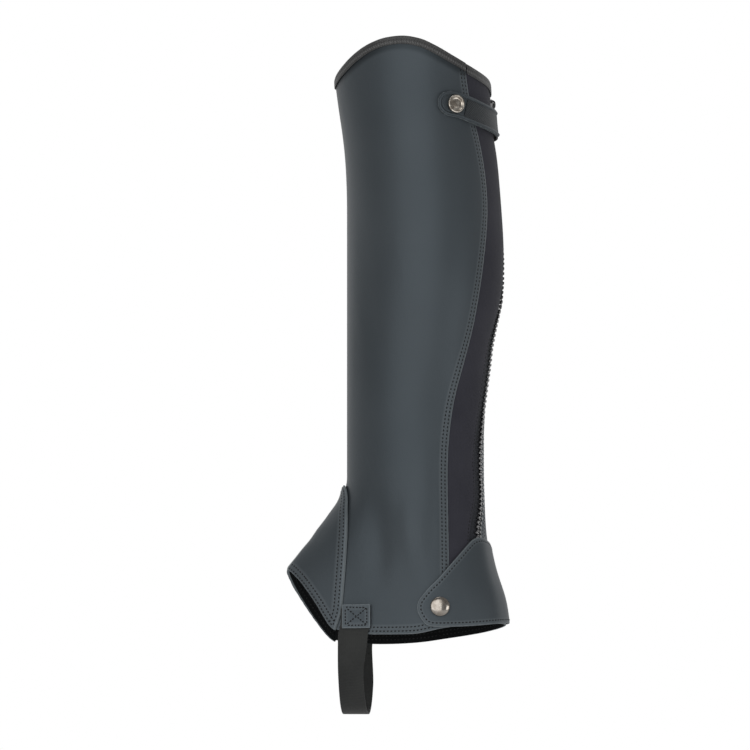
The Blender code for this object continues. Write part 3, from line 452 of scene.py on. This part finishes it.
def rimsOf(piece, kind=0):
    # the lines between the outside (or the inside, kind 1) and the cut edge, cut at their corners, in mm
    bm = bmesh.new()
    bm.from_mesh(piece.data)
    links = {}
    for edge in bm.edges:
        kinds = sorted(face.material_index for face in edge.link_faces)
        if kinds == [kind, 2]:
            a, b = edge.verts
            links.setdefault(a.index, []).append(b.index)
            links.setdefault(b.index, []).append(a.index)
    bm.verts.ensure_lookup_table()
    rims = []
    left = set(links)
    while left:
        start = left.pop()
        line = [start]
        for end in (-1, 0):
            while True:
                ahead = [n for n in links[line[end]] if n in left]
                if not ahead:
                    break
                left.discard(ahead[0])
                line.insert(len(line) if end else 0, ahead[0])
        if len(line) < 12:
            continue
        points = np.array([bm.verts[i].co for i in line]) / mm
        closed = line[0] in links[line[-1]]
        if closed:
            points = np.vstack([points, points[:1]])
        rims += cutAtCorners(evenly(points, 1.0), closed)
    bm.free()
    return rims


def evenly(points, step, phase=0.0):
    # points at even steps along a line
    runs = np.concatenate([[0], np.cumsum(np.linalg.norm(np.diff(points, axis=0), axis=1))])
    count = max(int((runs[-1] - phase) / step), 1)
    at = phase + np.arange(count + 1) * step
    at = at[at <= runs[-1]]
    return np.stack([np.interp(at, runs, points[:, i]) for i in range(3)], axis=1)


def cutAtCorners(line, closed, reach=4, turn=48):
    # the line cut into parts where it turns sharply
    points = line[:-1] if closed else line
    count = len(points)
    if count < 4 * reach:
        return [line]
    before = points - np.roll(points, reach, axis=0)
    after = np.roll(points, -reach, axis=0) - points
    lengths = np.linalg.norm(before, axis=1) * np.linalg.norm(after, axis=1)
    cosine = np.sum(before * after, axis=1) / (lengths + 1e-9)
    angles = np.degrees(np.arccos(np.clip(cosine, -1, 1)))
    inside = range(count) if closed else range(reach, count - reach)
    corners = [i for i in inside
               if angles[i] > turn and angles[i] >= max(angles[(i + k) % count] for k in range(-6, 7))]
    if closed and not corners:
        return [line]
    if closed:
        pairs = zip(corners, corners[1:] + [corners[0] + count])
    else:
        pairs = zip([0] + corners, corners + [count - 1])
    return [np.take(points, range(a, b + 1), axis=0, mode="wrap") for a, b in pairs]


def rimNear(rims, place):
    # the rim whose points come nearest to a place in mm
    return min(rims, key=lambda rim: np.min(np.linalg.norm(rim - np.array(place), axis=1)))


def surfaceOf(piece, kind=0):
    # the outside faces only, or the inside ones with kind 1, to lay rows on
    points = [vertex.co for vertex in piece.data.vertices]
    faces = [tuple(face.vertices) for face in piece.data.polygons if face.material_index == kind]
    return BVHTree.FromPolygons(points, faces)


def insetLine(rim, inset, surface):
    # a line on the surface beside a rim, at an even distance from it
    ahead = np.roll(rim, -1, axis=0) - np.roll(rim, 1, axis=0)
    ahead[0], ahead[-1] = rim[1] - rim[0], rim[-1] - rim[-2]
    lines = {}
    for side in (1, -1):
        line, miss = [], 0.0
        for point, along in zip(rim, ahead):
            place, normal, _, _ = surface.find_nearest(Vector(point) * mm)
            beside = normal.cross(Vector(along)).normalized() * side * inset * mm
            landed, _, _, gap = surface.find_nearest(Vector(point) * mm + beside)
            miss += gap
            for _ in range(3):  # the first step leaves on a rounded edge, so it falls short
                step = landed - Vector(point) * mm
                landed = surface.find_nearest(Vector(point) * mm + step * (inset * mm / max(step.length, 0.3 * mm)))[0]
            line.append(np.array(landed) / mm)
        lines[miss] = np.array(line)
    line = lines[min(lines)]
    near = np.array([np.min(np.linalg.norm(rim - p, axis=1)) for p in line])
    return line[near > inset * 0.93]


def gapsTo(piece, rims):
    # how far each vertex is from the nearest of the rims, and how far along it, in mm
    places = placesOf(piece)
    away = np.full(len(places), 99.0)
    along = np.zeros(len(places))
    for rim in rims:
        for i in range(0, len(places), 4000):
            gaps = np.linalg.norm(places[i:i + 4000, None] - rim[None], axis=2)
            nearest = gaps.argmin(axis=1)
            gap = gaps[np.arange(len(gaps)), nearest]
            closer = gap < away[i:i + 4000]
            away[i:i + 4000][closer] = gap[closer]
            along[i:i + 4000][closer] = nearest[closer]
    return away, along


def markSeam(piece, rims):
    # the "seam" map: along the nearest sewn edge and away from it, in millimetres
    away, along = gapsTo(piece, rims)
    writeMap(piece, "seam", along, away)


def pareEdges(piece, rims, share, reach):
    # the piece is pared thinner towards its rims, from the outside, as leather is before it is sewn
    inside = surfaceOf(piece, 1)
    places = placesOf(piece)
    away, _ = gapsTo(piece, rims)
    for i in np.flatnonzero(away < reach):
        landed = inside.find_nearest(Vector(places[i]) * mm)[0]
        places[i] += (np.array(landed) / mm - places[i]) * share * (1 - away[i] / reach) ** 2
    putPlaces(piece, places)


sewing = {"pitch": 2.85, "length": 1.4, "width": 1.15, "rise": 0.45, "yaw": 6.0, "hole": 0.4,
          "holeAt": 0.45, "holeSides": 6}


def makeStitch():
    # one lockstitch along +X, and a flat disc of painted shade for the needle hole that its end goes down
    pickNothing()
    bpy.ops.mesh.primitive_uv_sphere_add(segments=6, ring_count=5, radius=0.5 * mm)
    ball = bpy.context.object
    ball.rotation_euler = (0, math.radians(90), 0)
    bpy.ops.object.transform_apply(rotation=True)
    ball.scale = (sewing["length"], sewing["width"], sewing["rise"])
    bpy.ops.object.transform_apply(scale=True)
    points = [v.co.copy() for v in ball.data.vertices]
    faces = [tuple(p.vertices) for p in ball.data.polygons]
    bpy.data.objects.remove(ball, do_unlink=True)
    kinds = [0] * len(faces)
    start = len(points)
    # a flat disc lying on the leather, painted near black as the shade in the needle hole
    for i in range(sewing["holeSides"]):
        turn = math.tau * i / sewing["holeSides"]
        points.append(Vector((sewing["length"] * sewing["holeAt"] * mm + math.cos(turn) * sewing["hole"] * mm,
                              math.sin(turn) * sewing["hole"] * mm, 0.01 * mm)))
    faces.append(tuple(range(start, len(points))))
    kinds.append(1)
    return np.array(points), faces, kinds


stitchShape = makeStitch()


def rowPlaces(line, surface, trim=(0.0, 0.0), pitch=None):
    # where each stitch of a row sits, as matrices
    pitch = pitch or sewing["pitch"]
    if len(line) < 3:
        return []
    runs = evenly(line, pitch, trim[0])
    keep = int(trim[1] / pitch)
    runs = runs[:len(runs) - keep] if keep else runs
    places = []
    for i in range(len(runs) - 1):
        middle = Vector((runs[i] + runs[i + 1]) / 2) * mm
        along = Vector(runs[i + 1] - runs[i])
        place, normal, _, _ = surface.find_nearest(middle)
        across = normal.cross(along).normalized()
        ahead = across.cross(normal)
        if ahead.dot(along) < 0:
            ahead, across = -ahead, -across
        turn = Matrix.Rotation(math.radians(sewing["yaw"] + random.uniform(-2, 2)), 3, normal)
        axes = turn @ Matrix((ahead, across, normal)).transposed()
        places.append(Matrix.Translation(place) @ axes.to_4x4())
    return places


def manyOf(name, shape, places, materials):
    # copies of one shape at many places, joined as one piece
    points, faces, kinds = shape
    ends = np.hstack([points, np.ones((len(points), 1))])
    allPoints = np.vstack([(ends @ np.array(place).T)[:, :3] for place in places])
    allFaces = [tuple(i + k * len(points) for i in face) for k in range(len(places)) for face in faces]
    mesh = bpy.data.meshes.new(name)
    mesh.from_pydata(allPoints.tolist(), [], allFaces)
    for material in materials:
        mesh.materials.append(material)
    mesh.polygons.foreach_set("material_index", kinds * len(places))
    mesh.update()
    piece = bpy.data.objects.new(name, mesh)
    bpy.context.collection.objects.link(piece)
    pickOnly(piece)
    bpy.ops.object.shade_smooth()
    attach(piece, "chap")
    return piece


def sewRows(name, rims, insets, surface, trim=(2.0, 2.0)):
    # rows of stitches beside each rim, at each inset
    places = []
    for rim in rims:
        for inset in insets:
            places += rowPlaces(insetLine(rim, inset, surface), surface, trim)
    return manyOf(name, stitchShape, places, [thread, needleHoleShade])


panelLook = {"edge": 0.35, "smooth": 2, "rows": (2.3, 5.2), "insideRows": (3.2, 6.0), "pared": 0.35,
             "paredReach": 3.0}
panel = liftNode("main_panel", "main_panel_leather", [panelLeather, lining, cutEdge], panelLook)
panelRims = rimsOf(panel)
pareEdges(panel, panelRims, panelLook["pared"], panelLook["paredReach"])
panelRims = rimsOf(panel)
topRim = rimNear(panelRims, (0, -60, 131))
sewnRims = [rimNear(panelRims, place) for place in ((40, 40, -60), (40, -10, -284), (-43, -10, -283), (-20, 40, 0))]
markSeam(panel, sewnRims)
# how far each place is below the top rim, for the painted shade under the binding
belowTop, _ = gapsTo(panel, [topRim])
writeMap(panel, "bound", belowTop * 0, belowTop)
sewRows("main_panel_sewing", sewnRims, panelLook["rows"], surfaceOf(panel))
insideRims = [rimNear(rimsOf(panel, 1), place) for place in ((40, -10, -284), (-43, -10, -283))]
sewRows("main_panel_hem_sewing", insideRims, panelLook["insideRows"], surfaceOf(panel, 1))
print("stage: main panel", len(panel.data.polygons), "faces")

gussetLook = {"edge": 0.3, "smooth": 2, "rows": (1.8, 5.0), "insideRows": (3.2, 6.0), "pared": 0.5, "paredReach": 3.2,
              "cutAngle": 33, "folded": 0.8, "foldFrom": (-61.2, -177.0), "foldTo": (-102.6, -231.5), "foldReach": 30.0}
gusset = liftNode("vamp_gusset", "vamp_gusset_leather", [gussetLeather, lining, cutEdge], gussetLook)
# the fold is drawn out until it runs straight from its corner to its tip
places = placesOf(gusset)
onFold = places[np.abs(places[:, 0]) < 0.4]
levels = np.arange(gussetLook["foldTo"][1], gussetLook["foldFrom"][1], 4.0)
straight = np.interp(levels, *zip(gussetLook["foldTo"][::-1], gussetLook["foldFrom"][::-1]))
bows = [max(onFold[np.abs(onFold[:, 2] - level) < 3.0, 1].min() - y, 0) for level, y in zip(levels, straight)]
bows = np.convolve(np.pad(bows, 1, mode="edge"), [0.25, 0.5, 0.25], mode="valid")
share = np.clip(1 - np.abs(places[:, 0]) / gussetLook["foldReach"], 0, 1)
places[:, 1] -= np.interp(places[:, 2], levels, bows) * share
putPlaces(gusset, places)
pareEdges(gusset, rimsOf(gusset), gussetLook["pared"], gussetLook["paredReach"])
gussetRims = rimsOf(gusset)
markSeam(gusset, gussetRims)
sewRows("vamp_gusset_sewing", gussetRims, gussetLook["rows"], surfaceOf(gusset))
hemRims = [rim for rim in rimsOf(gusset, 1) if len(rim) < 120]
sewRows("vamp_gusset_hem_sewing", hemRims, gussetLook["insideRows"], surfaceOf(gusset, 1))
print("stage: gusset", [len(rim) for rim in gussetRims])

flapLook = {"edge": 0.4, "smooth": 2, "rows": (2.7,), "pared": 0.25, "paredReach": 2.2}
flap = liftNode("ankle_flap", "ankle_flap_leather", [hemLeather, lining, cutEdge], flapLook)
pareEdges(flap, rimsOf(flap), flapLook["pared"], flapLook["paredReach"])
flapRims = rimsOf(flap)
markSeam(flap, flapRims)
sewRows("ankle_flap_sewing", flapRims, flapLook["rows"], surfaceOf(flap), (1.0, 1.0))
print("stage: ankle flap", [len(rim) for rim in flapRims])

stretchLook = {"edge": 0.3, "smooth": 2, "turnAt": 170, "drawnBack": 3.4, "drawnReach": 16.0,
               "drawnFrom": -35.0, "drawnRun": 50.0, "rows": (1.5,)}
stretch = liftNode("stretch_panel", "stretch_panel_cloth", [stretchCloth, lining, stretchCloth], stretchLook)
tapeFoldRim = rimNear(rimsOf(stretch), (12, 50, -100))
away, _ = gapsTo(stretch, [tapeFoldRim])
places = placesOf(stretch)
low = eased((stretchLook["drawnFrom"] - places[:, 2]) / stretchLook["drawnRun"])  # higher up it covers the tape
share = np.clip(1 - away / stretchLook["drawnReach"], 0, 1) * low
putPlaces(stretch, turnRound(places, -np.degrees(stretchLook["drawnBack"] / legRadius) * share))
foldRim = rimNear(rimsOf(stretch), (14, 48, -100))
markSeam(stretch, [foldRim])
sewRows("stretch_panel_sewing", [foldRim], stretchLook["rows"], surfaceOf(stretch))
print("stage: stretch panel", len(foldRim))

tapeLook = {"edge": 0.25, "smooth": 2, "turnAt": 170, "under": 2.1, "on": 2.6, "sooner": 8.0}
tapes = [liftNode(node, node + "_woven", [tapeCloth, tapeCloth, tapeCloth], tapeLook)
         for node in ("zip_tape_outer", "zip_tape_inner")]
# each tape runs on under the cloth or leather beside it, the outer one further where the cloth is drawn back
for tape, rim, reach, side, further in ((tapes[0], tapeFoldRim, 8.0, -1, stretchLook["drawnBack"]),
                                        (tapes[1], sewnRims[3], 6.0, 1, 0.0)):
    places = placesOf(tape)
    away, _ = gapsTo(tape, [rim])
    low = eased((stretchLook["drawnFrom"] + tapeLook["sooner"] - places[:, 2]) / stretchLook["drawnRun"])
    share = np.clip(1 - away / reach, 0, 1)
    slid = (tapeLook["on"] + further * low) * share
    moveOut(places, -tapeLook["under"] * share)
    putPlaces(tape, turnRound(places, side * np.degrees(slid / legRadius)))
print("stage: tapes")

bindingLook = {"edge": 0.35, "smooth": 2, "closer": 0.4}
bindings = [liftNode("top_binding", "top_binding_band", [bandElastic] * 3, bindingLook),
            liftNode("stretch_binding", "stretch_binding_band", [bandElastic] * 3, {**bindingLook, "turnAt": 170})]
carriers = (panel, stretch)
for binding, carrier in zip(bindings, carriers):
    # the band hugs the edge that it wraps
    places = placesOf(binding)
    wrapped = BVHTree.FromPolygons([v.co for v in carrier.data.vertices],
                                   [tuple(p.vertices) for p in carrier.data.polygons])
    for i in range(len(places)):
        landed = np.array(wrapped.find_nearest(Vector(places[i]) * mm)[0]) / mm
        places[i, :2] += (landed - places[i])[:2] * bindingLook["closer"]
    putPlaces(binding, places)
markSeam(bindings[0], [topRim])
markSeam(bindings[1], [rimNear(rimsOf(stretch), (30, 40, 125))])
print("stage: bindings")

tabLook = {"edge": 0.45, "smooth": 2, "weltIn": 1.5, "weltRadius": 1.1}


def laidBead(name, line, radius, surface, material):
    # a round bead along a line on a surface, half sunk in it
    curve = bpy.data.curves.new(name, "CURVE")
    curve.dimensions = "3D"
    curve.bevel_depth = radius * mm
    curve.bevel_resolution = 3
    curve.use_fill_caps = True
    spline = curve.splines.new("POLY")
    spline.points.add(len(line) - 1)
    for point, place in zip(spline.points, line):
        landed, normal, _, _ = surface.find_nearest(Vector(place) * mm)
        point.co = (*(landed - normal * radius * 0.35 * mm), 1.0)
    bead = bpy.data.objects.new(name, curve)
    bpy.context.collection.objects.link(bead)
    pickOnly(bead)
    bpy.ops.object.convert(target="MESH")
    bpy.ops.object.shade_smooth()
    bead = bpy.context.object
    bead.data.materials.append(material)
    nowhere = np.zeros(len(bead.data.vertices))
    writeMap(bead, "seam", nowhere, nowhere + 99)
    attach(bead, "chap")


tab = liftNode("tab_leather", "tab_leather_strap", [tabLeather, lining, cutEdge], {**tabLook, "turnAt": 170})
tabRims = rimsOf(tab)
markSeam(tab, [max(tabRims, key=len)])
inset = liftNode("tab_inset", "tab_inset_patch", [insetCloth] * 3, {"edge": 0.2, "smooth": 2, "turnAt": 170})
tabElastic = liftNode("tab_elastic", "tab_elastic_band", [elastic] * 3, {"edge": 0.3, "smooth": 2, "turnAt": 190})
tabSurface = surfaceOf(tab)
laidBead("tab_leather_welt", insetLine(max(tabRims, key=len), tabLook["weltIn"], tabSurface),
         tabLook["weltRadius"], tabSurface, leather)
print("stage: tab", [len(rim) for rim in tabRims])

# how the strap's width and the place of its two legs change from the sewn ends down to the bottom
strapLook = {"edge": 0.3, "smooth": 2, "creased": False, "narrow": 0.86,
             "outerShift": -2.3, "innerShift": 2.8, "from": 286.0, "run": 30.0}
strap = liftNode("boot_strap", "boot_strap_elastic", [elastic] * 3, strapLook, around="strap")
places = placesOf(strap)
low = eased((-places[:, 2] - strapLook["from"]) / strapLook["run"])
strapMiddle = (places[:, 1].max() + places[:, 1].min()) / 2
side = np.clip(0.5 - places[:, 0] / 60, 0, 1)  # 0 on the outer leg, 1 on the inner one
places[:, 1] = strapMiddle + (places[:, 1] - strapMiddle) * (1 - (1 - strapLook["narrow"]) * low) \
    + low * (strapLook["outerShift"] * (1 - side) + strapLook["innerShift"] * side)
putPlaces(strap, places)
print("stage: strap")

patchLook = {"edge": 0.4, "smooth": 2, "inset": 2.2, "pitch": 2.4}


def sewnSquare(node):
    # a leather square with a stitched box and cross
    patch = liftNode(node, node + "_leather", [hemLeather, lining, cutEdge],
                     {**patchLook, "turnAt": 190 if node == "tab_patch" else 90})
    rims = rimsOf(patch)
    markSeam(patch, rims)
    surface = surfaceOf(patch)
    corners = [rim[0] for rim in rims][:4]
    middle = sum(corners) / 4
    inner = [middle + (corner - middle) * (1 - patchLook["inset"] * 1.4 / np.linalg.norm(corner - middle))
             for corner in corners]
    places = []
    for a, b in ((0, 1), (1, 2), (2, 3), (3, 0), (0, 2), (1, 3)):
        places += rowPlaces(np.linspace(inner[a], inner[b], 20), surface, (0.1, 0.0), patchLook["pitch"])
    manyOf(node + "_sewing", stitchShape, places, [thread, needleHoleShade])
    print("stage:", node, len(rims), "sides")
    return patch


patches = [sewnSquare(node) for node in ("tab_patch", "strap_patch_outer", "strap_patch_inner")]


def turnedCap(name, node, profile, material):
    # a stud's cap turned from its profile of (radius, height) and set where the solid one sits
    points = np.array([v.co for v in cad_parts[node].data.vertices])
    centre = (points.max(axis=0) + points.min(axis=0)) / 2
    axis = Vector(np.linalg.svd(points - points.mean(axis=0))[2][2])
    if axis.dot(outwardFrom(Vector(centre), "leg")) < 0:
        axis = -axis
    heights = (points - centre) @ np.array(axis)
    pickNothing()
    bpy.ops.mesh.primitive_circle_add(vertices=48, radius=profile[0][0] * mm, fill_type="NGON")
    cap = bpy.context.object
    cap.name = name
    bpy.ops.object.mode_set(mode="EDIT")
    bpy.ops.mesh.select_all(action="SELECT")
    for (r0, h0), (r1, h1) in zip(profile, profile[1:]):
        bpy.ops.mesh.extrude_region_move(TRANSFORM_OT_translate={"value": (0, 0, (h1 - h0) * mm)})
        bpy.ops.transform.resize(value=(r1 / r0, r1 / r0, 1))
    bpy.ops.mesh.select_all(action="SELECT")
    bpy.ops.mesh.normals_make_consistent(inside=False)
    bpy.ops.object.mode_set(mode="OBJECT")
    cap.location = Vector(centre) + axis * heights.min()
    cap.rotation_euler = axis.to_track_quat("Z", "Y").to_euler()
    bpy.ops.object.transform_apply(location=True, rotation=True, scale=True)
    bpy.ops.object.shade_smooth_by_angle(angle=math.radians(50))
    cap.data.materials.append(material)
    standFor(cap, node)
    print("stage:", name, "stands", round((heights.max() - heights.min()) / mm, 2), "high,",
          round(np.ptp(points, axis=0).max() / mm, 2), "wide")


domeProfile = ((6.9, 0.0), (7.15, 0.3), (7.25, 0.65), (7.2, 0.95), (6.95, 1.25), (6.5, 1.5), (5.8, 1.75), (4.8, 1.98),
               (3.6, 2.16), (2.2, 2.3), (0.9, 2.36), (0.1, 2.37))
dishProfile = ((6.4, 0.0), (6.75, 0.4), (6.85, 1.0), (6.7, 1.5), (6.3, 1.8), (5.8, 1.85), (5.3, 1.5), (4.95, 0.9),
               (4.6, 0.5), (3.8, 0.4), (2.6, 0.55), (1.2, 0.7), (0.1, 0.72))
turnedCap("ankle_snap_cap", "ankle_snap", domeProfile, brightNickel)
turnedCap("tab_snap_cap", "tab_snap", dishProfile, oldNickel)

zipLook = {"pitch": 3.9, "long": 5.0, "wide": 1.9, "high": 1.9, "offset": 1.15, "sunk": 0.4}


def makeTooth():
    # one tooth: a block on the tape with a waisted neck and a round head past the middle
    pickNothing()
    bpy.ops.mesh.primitive_cube_add(size=1.0)
    tooth = bpy.context.object
    tooth.scale = (zipLook["long"] * 0.45 * mm, zipLook["wide"] * mm, zipLook["high"] * mm)
    bpy.ops.object.transform_apply(scale=True)
    bpy.ops.object.mode_set(mode="EDIT")
    bpy.ops.mesh.select_mode(type="FACE")
    bpy.ops.mesh.select_all(action="DESELECT")
    bm = bmesh.from_edit_mesh(tooth.data)
    for face in bm.faces:
        face.select_set(face.normal.x > 0.9)
    bmesh.update_edit_mesh(tooth.data)
    for push, scale in ((0.12, 0.6), (0.12, 0.95), (0.2, 1.35), (0.16, 0.7)):
        bpy.ops.mesh.extrude_region_move(TRANSFORM_OT_translate={"value": (push * zipLook["long"] * mm, 0, 0)})
        bpy.ops.transform.resize(value=(1, scale, min(scale, 1.0)))
    bpy.ops.mesh.select_all(action="SELECT")
    bpy.ops.mesh.bevel(offset=0.3 * mm, segments=2, affect="EDGES")
    bpy.ops.object.mode_set(mode="OBJECT")
    points = np.array([v.co for v in tooth.data.vertices])
    points[:, 0] -= (points[:, 0].max() + points[:, 0].min()) / 2
    faces = [tuple(p.vertices) for p in tooth.data.polygons]
    bpy.data.objects.remove(tooth, do_unlink=True)
    return points, faces, [0] * len(faces)


def middleOf(node):
    # the middle line of a strip that runs up the leg, from its solid, in mm
    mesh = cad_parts[node].data
    rows = {}
    for vertex in mesh.vertices:
        rows.setdefault(round(vertex.co.z / mm, 1), []).append(np.array(vertex.co) / mm)
    return np.array([np.mean(rows[z], axis=0) for z in sorted(rows)])


chainLine = evenly(middleOf("zip_chain"), zipLook["pitch"] / 2)
moveOut(chainLine, creaseDepth(chainLine) - zipLook["sunk"])
places = []
for i in range(1, len(chainLine) - 1):
    up = Vector(chainLine[i + 1] - chainLine[i - 1]).normalized()
    out = outwardFrom(Vector(chainLine[i]) * mm, "leg")
    across = out.cross(up).normalized() * (1 if i % 2 else -1)
    out = up.cross(across).normalized() * (1 if i % 2 else -1)
    middle = Vector(chainLine[i]) * mm - across * zipLook["offset"] * mm
    places.append(Matrix.Translation(middle) @ Matrix((across, up if i % 2 else -up, out)).transposed().to_4x4())
teeth = manyOf("zip_chain_teeth", makeTooth(), places, [toothPlastic])
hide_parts("zip_chain")
sliderLook = {"edge": 0.35, "smooth": 1, "creased": False, "turnAt": 170}
liftNode("zip_slider", "zip_slider_body", [blackLacquer] * 3, sliderLook)
liftNode("zip_pull", "zip_pull_tab", [blackLacquer] * 3, sliderLook, body="pull")
print("stage: zip,", len(places), "teeth")
studio = {"floor": -0.62, "floorRadius": 4.0, "paper": "f4f4f4", "front": 0.3, "behind": 0.85,
          "aim": (0.0, -0.02, -0.08)}
pickNothing()
bpy.ops.mesh.primitive_circle_add(vertices=96, radius=studio["floorRadius"], fill_type="NGON",
                                  location=(0, 0, studio["floor"]))
floor = bpy.context.object
floor.name = "studio_floor"
floor.data.materials.append(makePlain("pale studio paper", {"deep": studio["paper"], "pale": studio["paper"],
                                                            "rough": 0.9, "ior": 1.4}))

# white paper stands behind the object and to its sides, and the room in front of it is dim
world = bpy.data.worlds.new("studio")
bpy.context.scene.world = world
world.use_nodes = True
sky = world.node_tree
toward = addNode(sky, "TexCoord", out="Generated")
front = addNode(sky, "SeparateXYZ", None, {0: toward}, "X")
dim = addNode(sky, "MapRange", smoothStep,
              {"Value": front, "From Min": -0.55, "From Max": 0.15, "To Min": studio["behind"], "To Max": studio["front"]})
seen = addNode(sky, "LightPath", out="Is Camera Ray")
strength = addNode(sky, "Mix", {"data_type": "FLOAT"}, {0: seen, 2: dim, 3: 1.0})
sky.nodes["Background"].inputs["Color"].default_value = (1, 1, 1, 1)
sky.links.new(strength, sky.nodes["Background"].inputs["Strength"])

lamps = {  # where each soft box stands, how wide and high it is, and how strong
    "key": ((2.15, -0.52, 0.2), 2.6, 1.7, 27.0),
    "top": ((0.4, -0.3, 1.9), 1.0, 1.0, 5.0),
    "low": ((1.03, 1.22, -0.25), 0.9, 0.4, 3.4),
}
for name, (place, wide, high, power) in lamps.items():
    light = bpy.data.lights.new(name, "AREA")
    light.shape = "RECTANGLE"
    light.size, light.size_y = wide, high
    light.energy = power
    lamp = bpy.data.objects.new(name, light)
    bpy.context.collection.objects.link(lamp)
    lamp.location = place
    lamp.rotation_euler = (Vector(studio["aim"]) - Vector(place)).to_track_quat("-Z", "Y").to_euler()
    lamp.visible_camera = False

view = {"azimuth": 90.0, "elevation": -6.0, "target": (0.0, -0.0364, -0.0880), "acrossFrame": 0.5565,
        "distance": 2.0}
cameraData = bpy.data.cameras.new("photo camera")
cameraData.type = "ORTHO"
cameraData.ortho_scale = view["acrossFrame"]
camera = bpy.data.objects.new("photo camera", cameraData)
bpy.context.collection.objects.link(camera)
azimuth, elevation = math.radians(view["azimuth"]), math.radians(view["elevation"])
back = Vector((math.sin(azimuth) * math.cos(elevation), -math.cos(azimuth) * math.cos(elevation),
               math.sin(elevation)))
camera.location = Vector(view["target"]) + back * view["distance"]
camera.rotation_euler = (-back).to_track_quat("-Z", "Y").to_euler()
bpy.context.scene.camera = camera
bpy.context.scene.view_settings.view_transform = "Standard"
print("stage: studio")
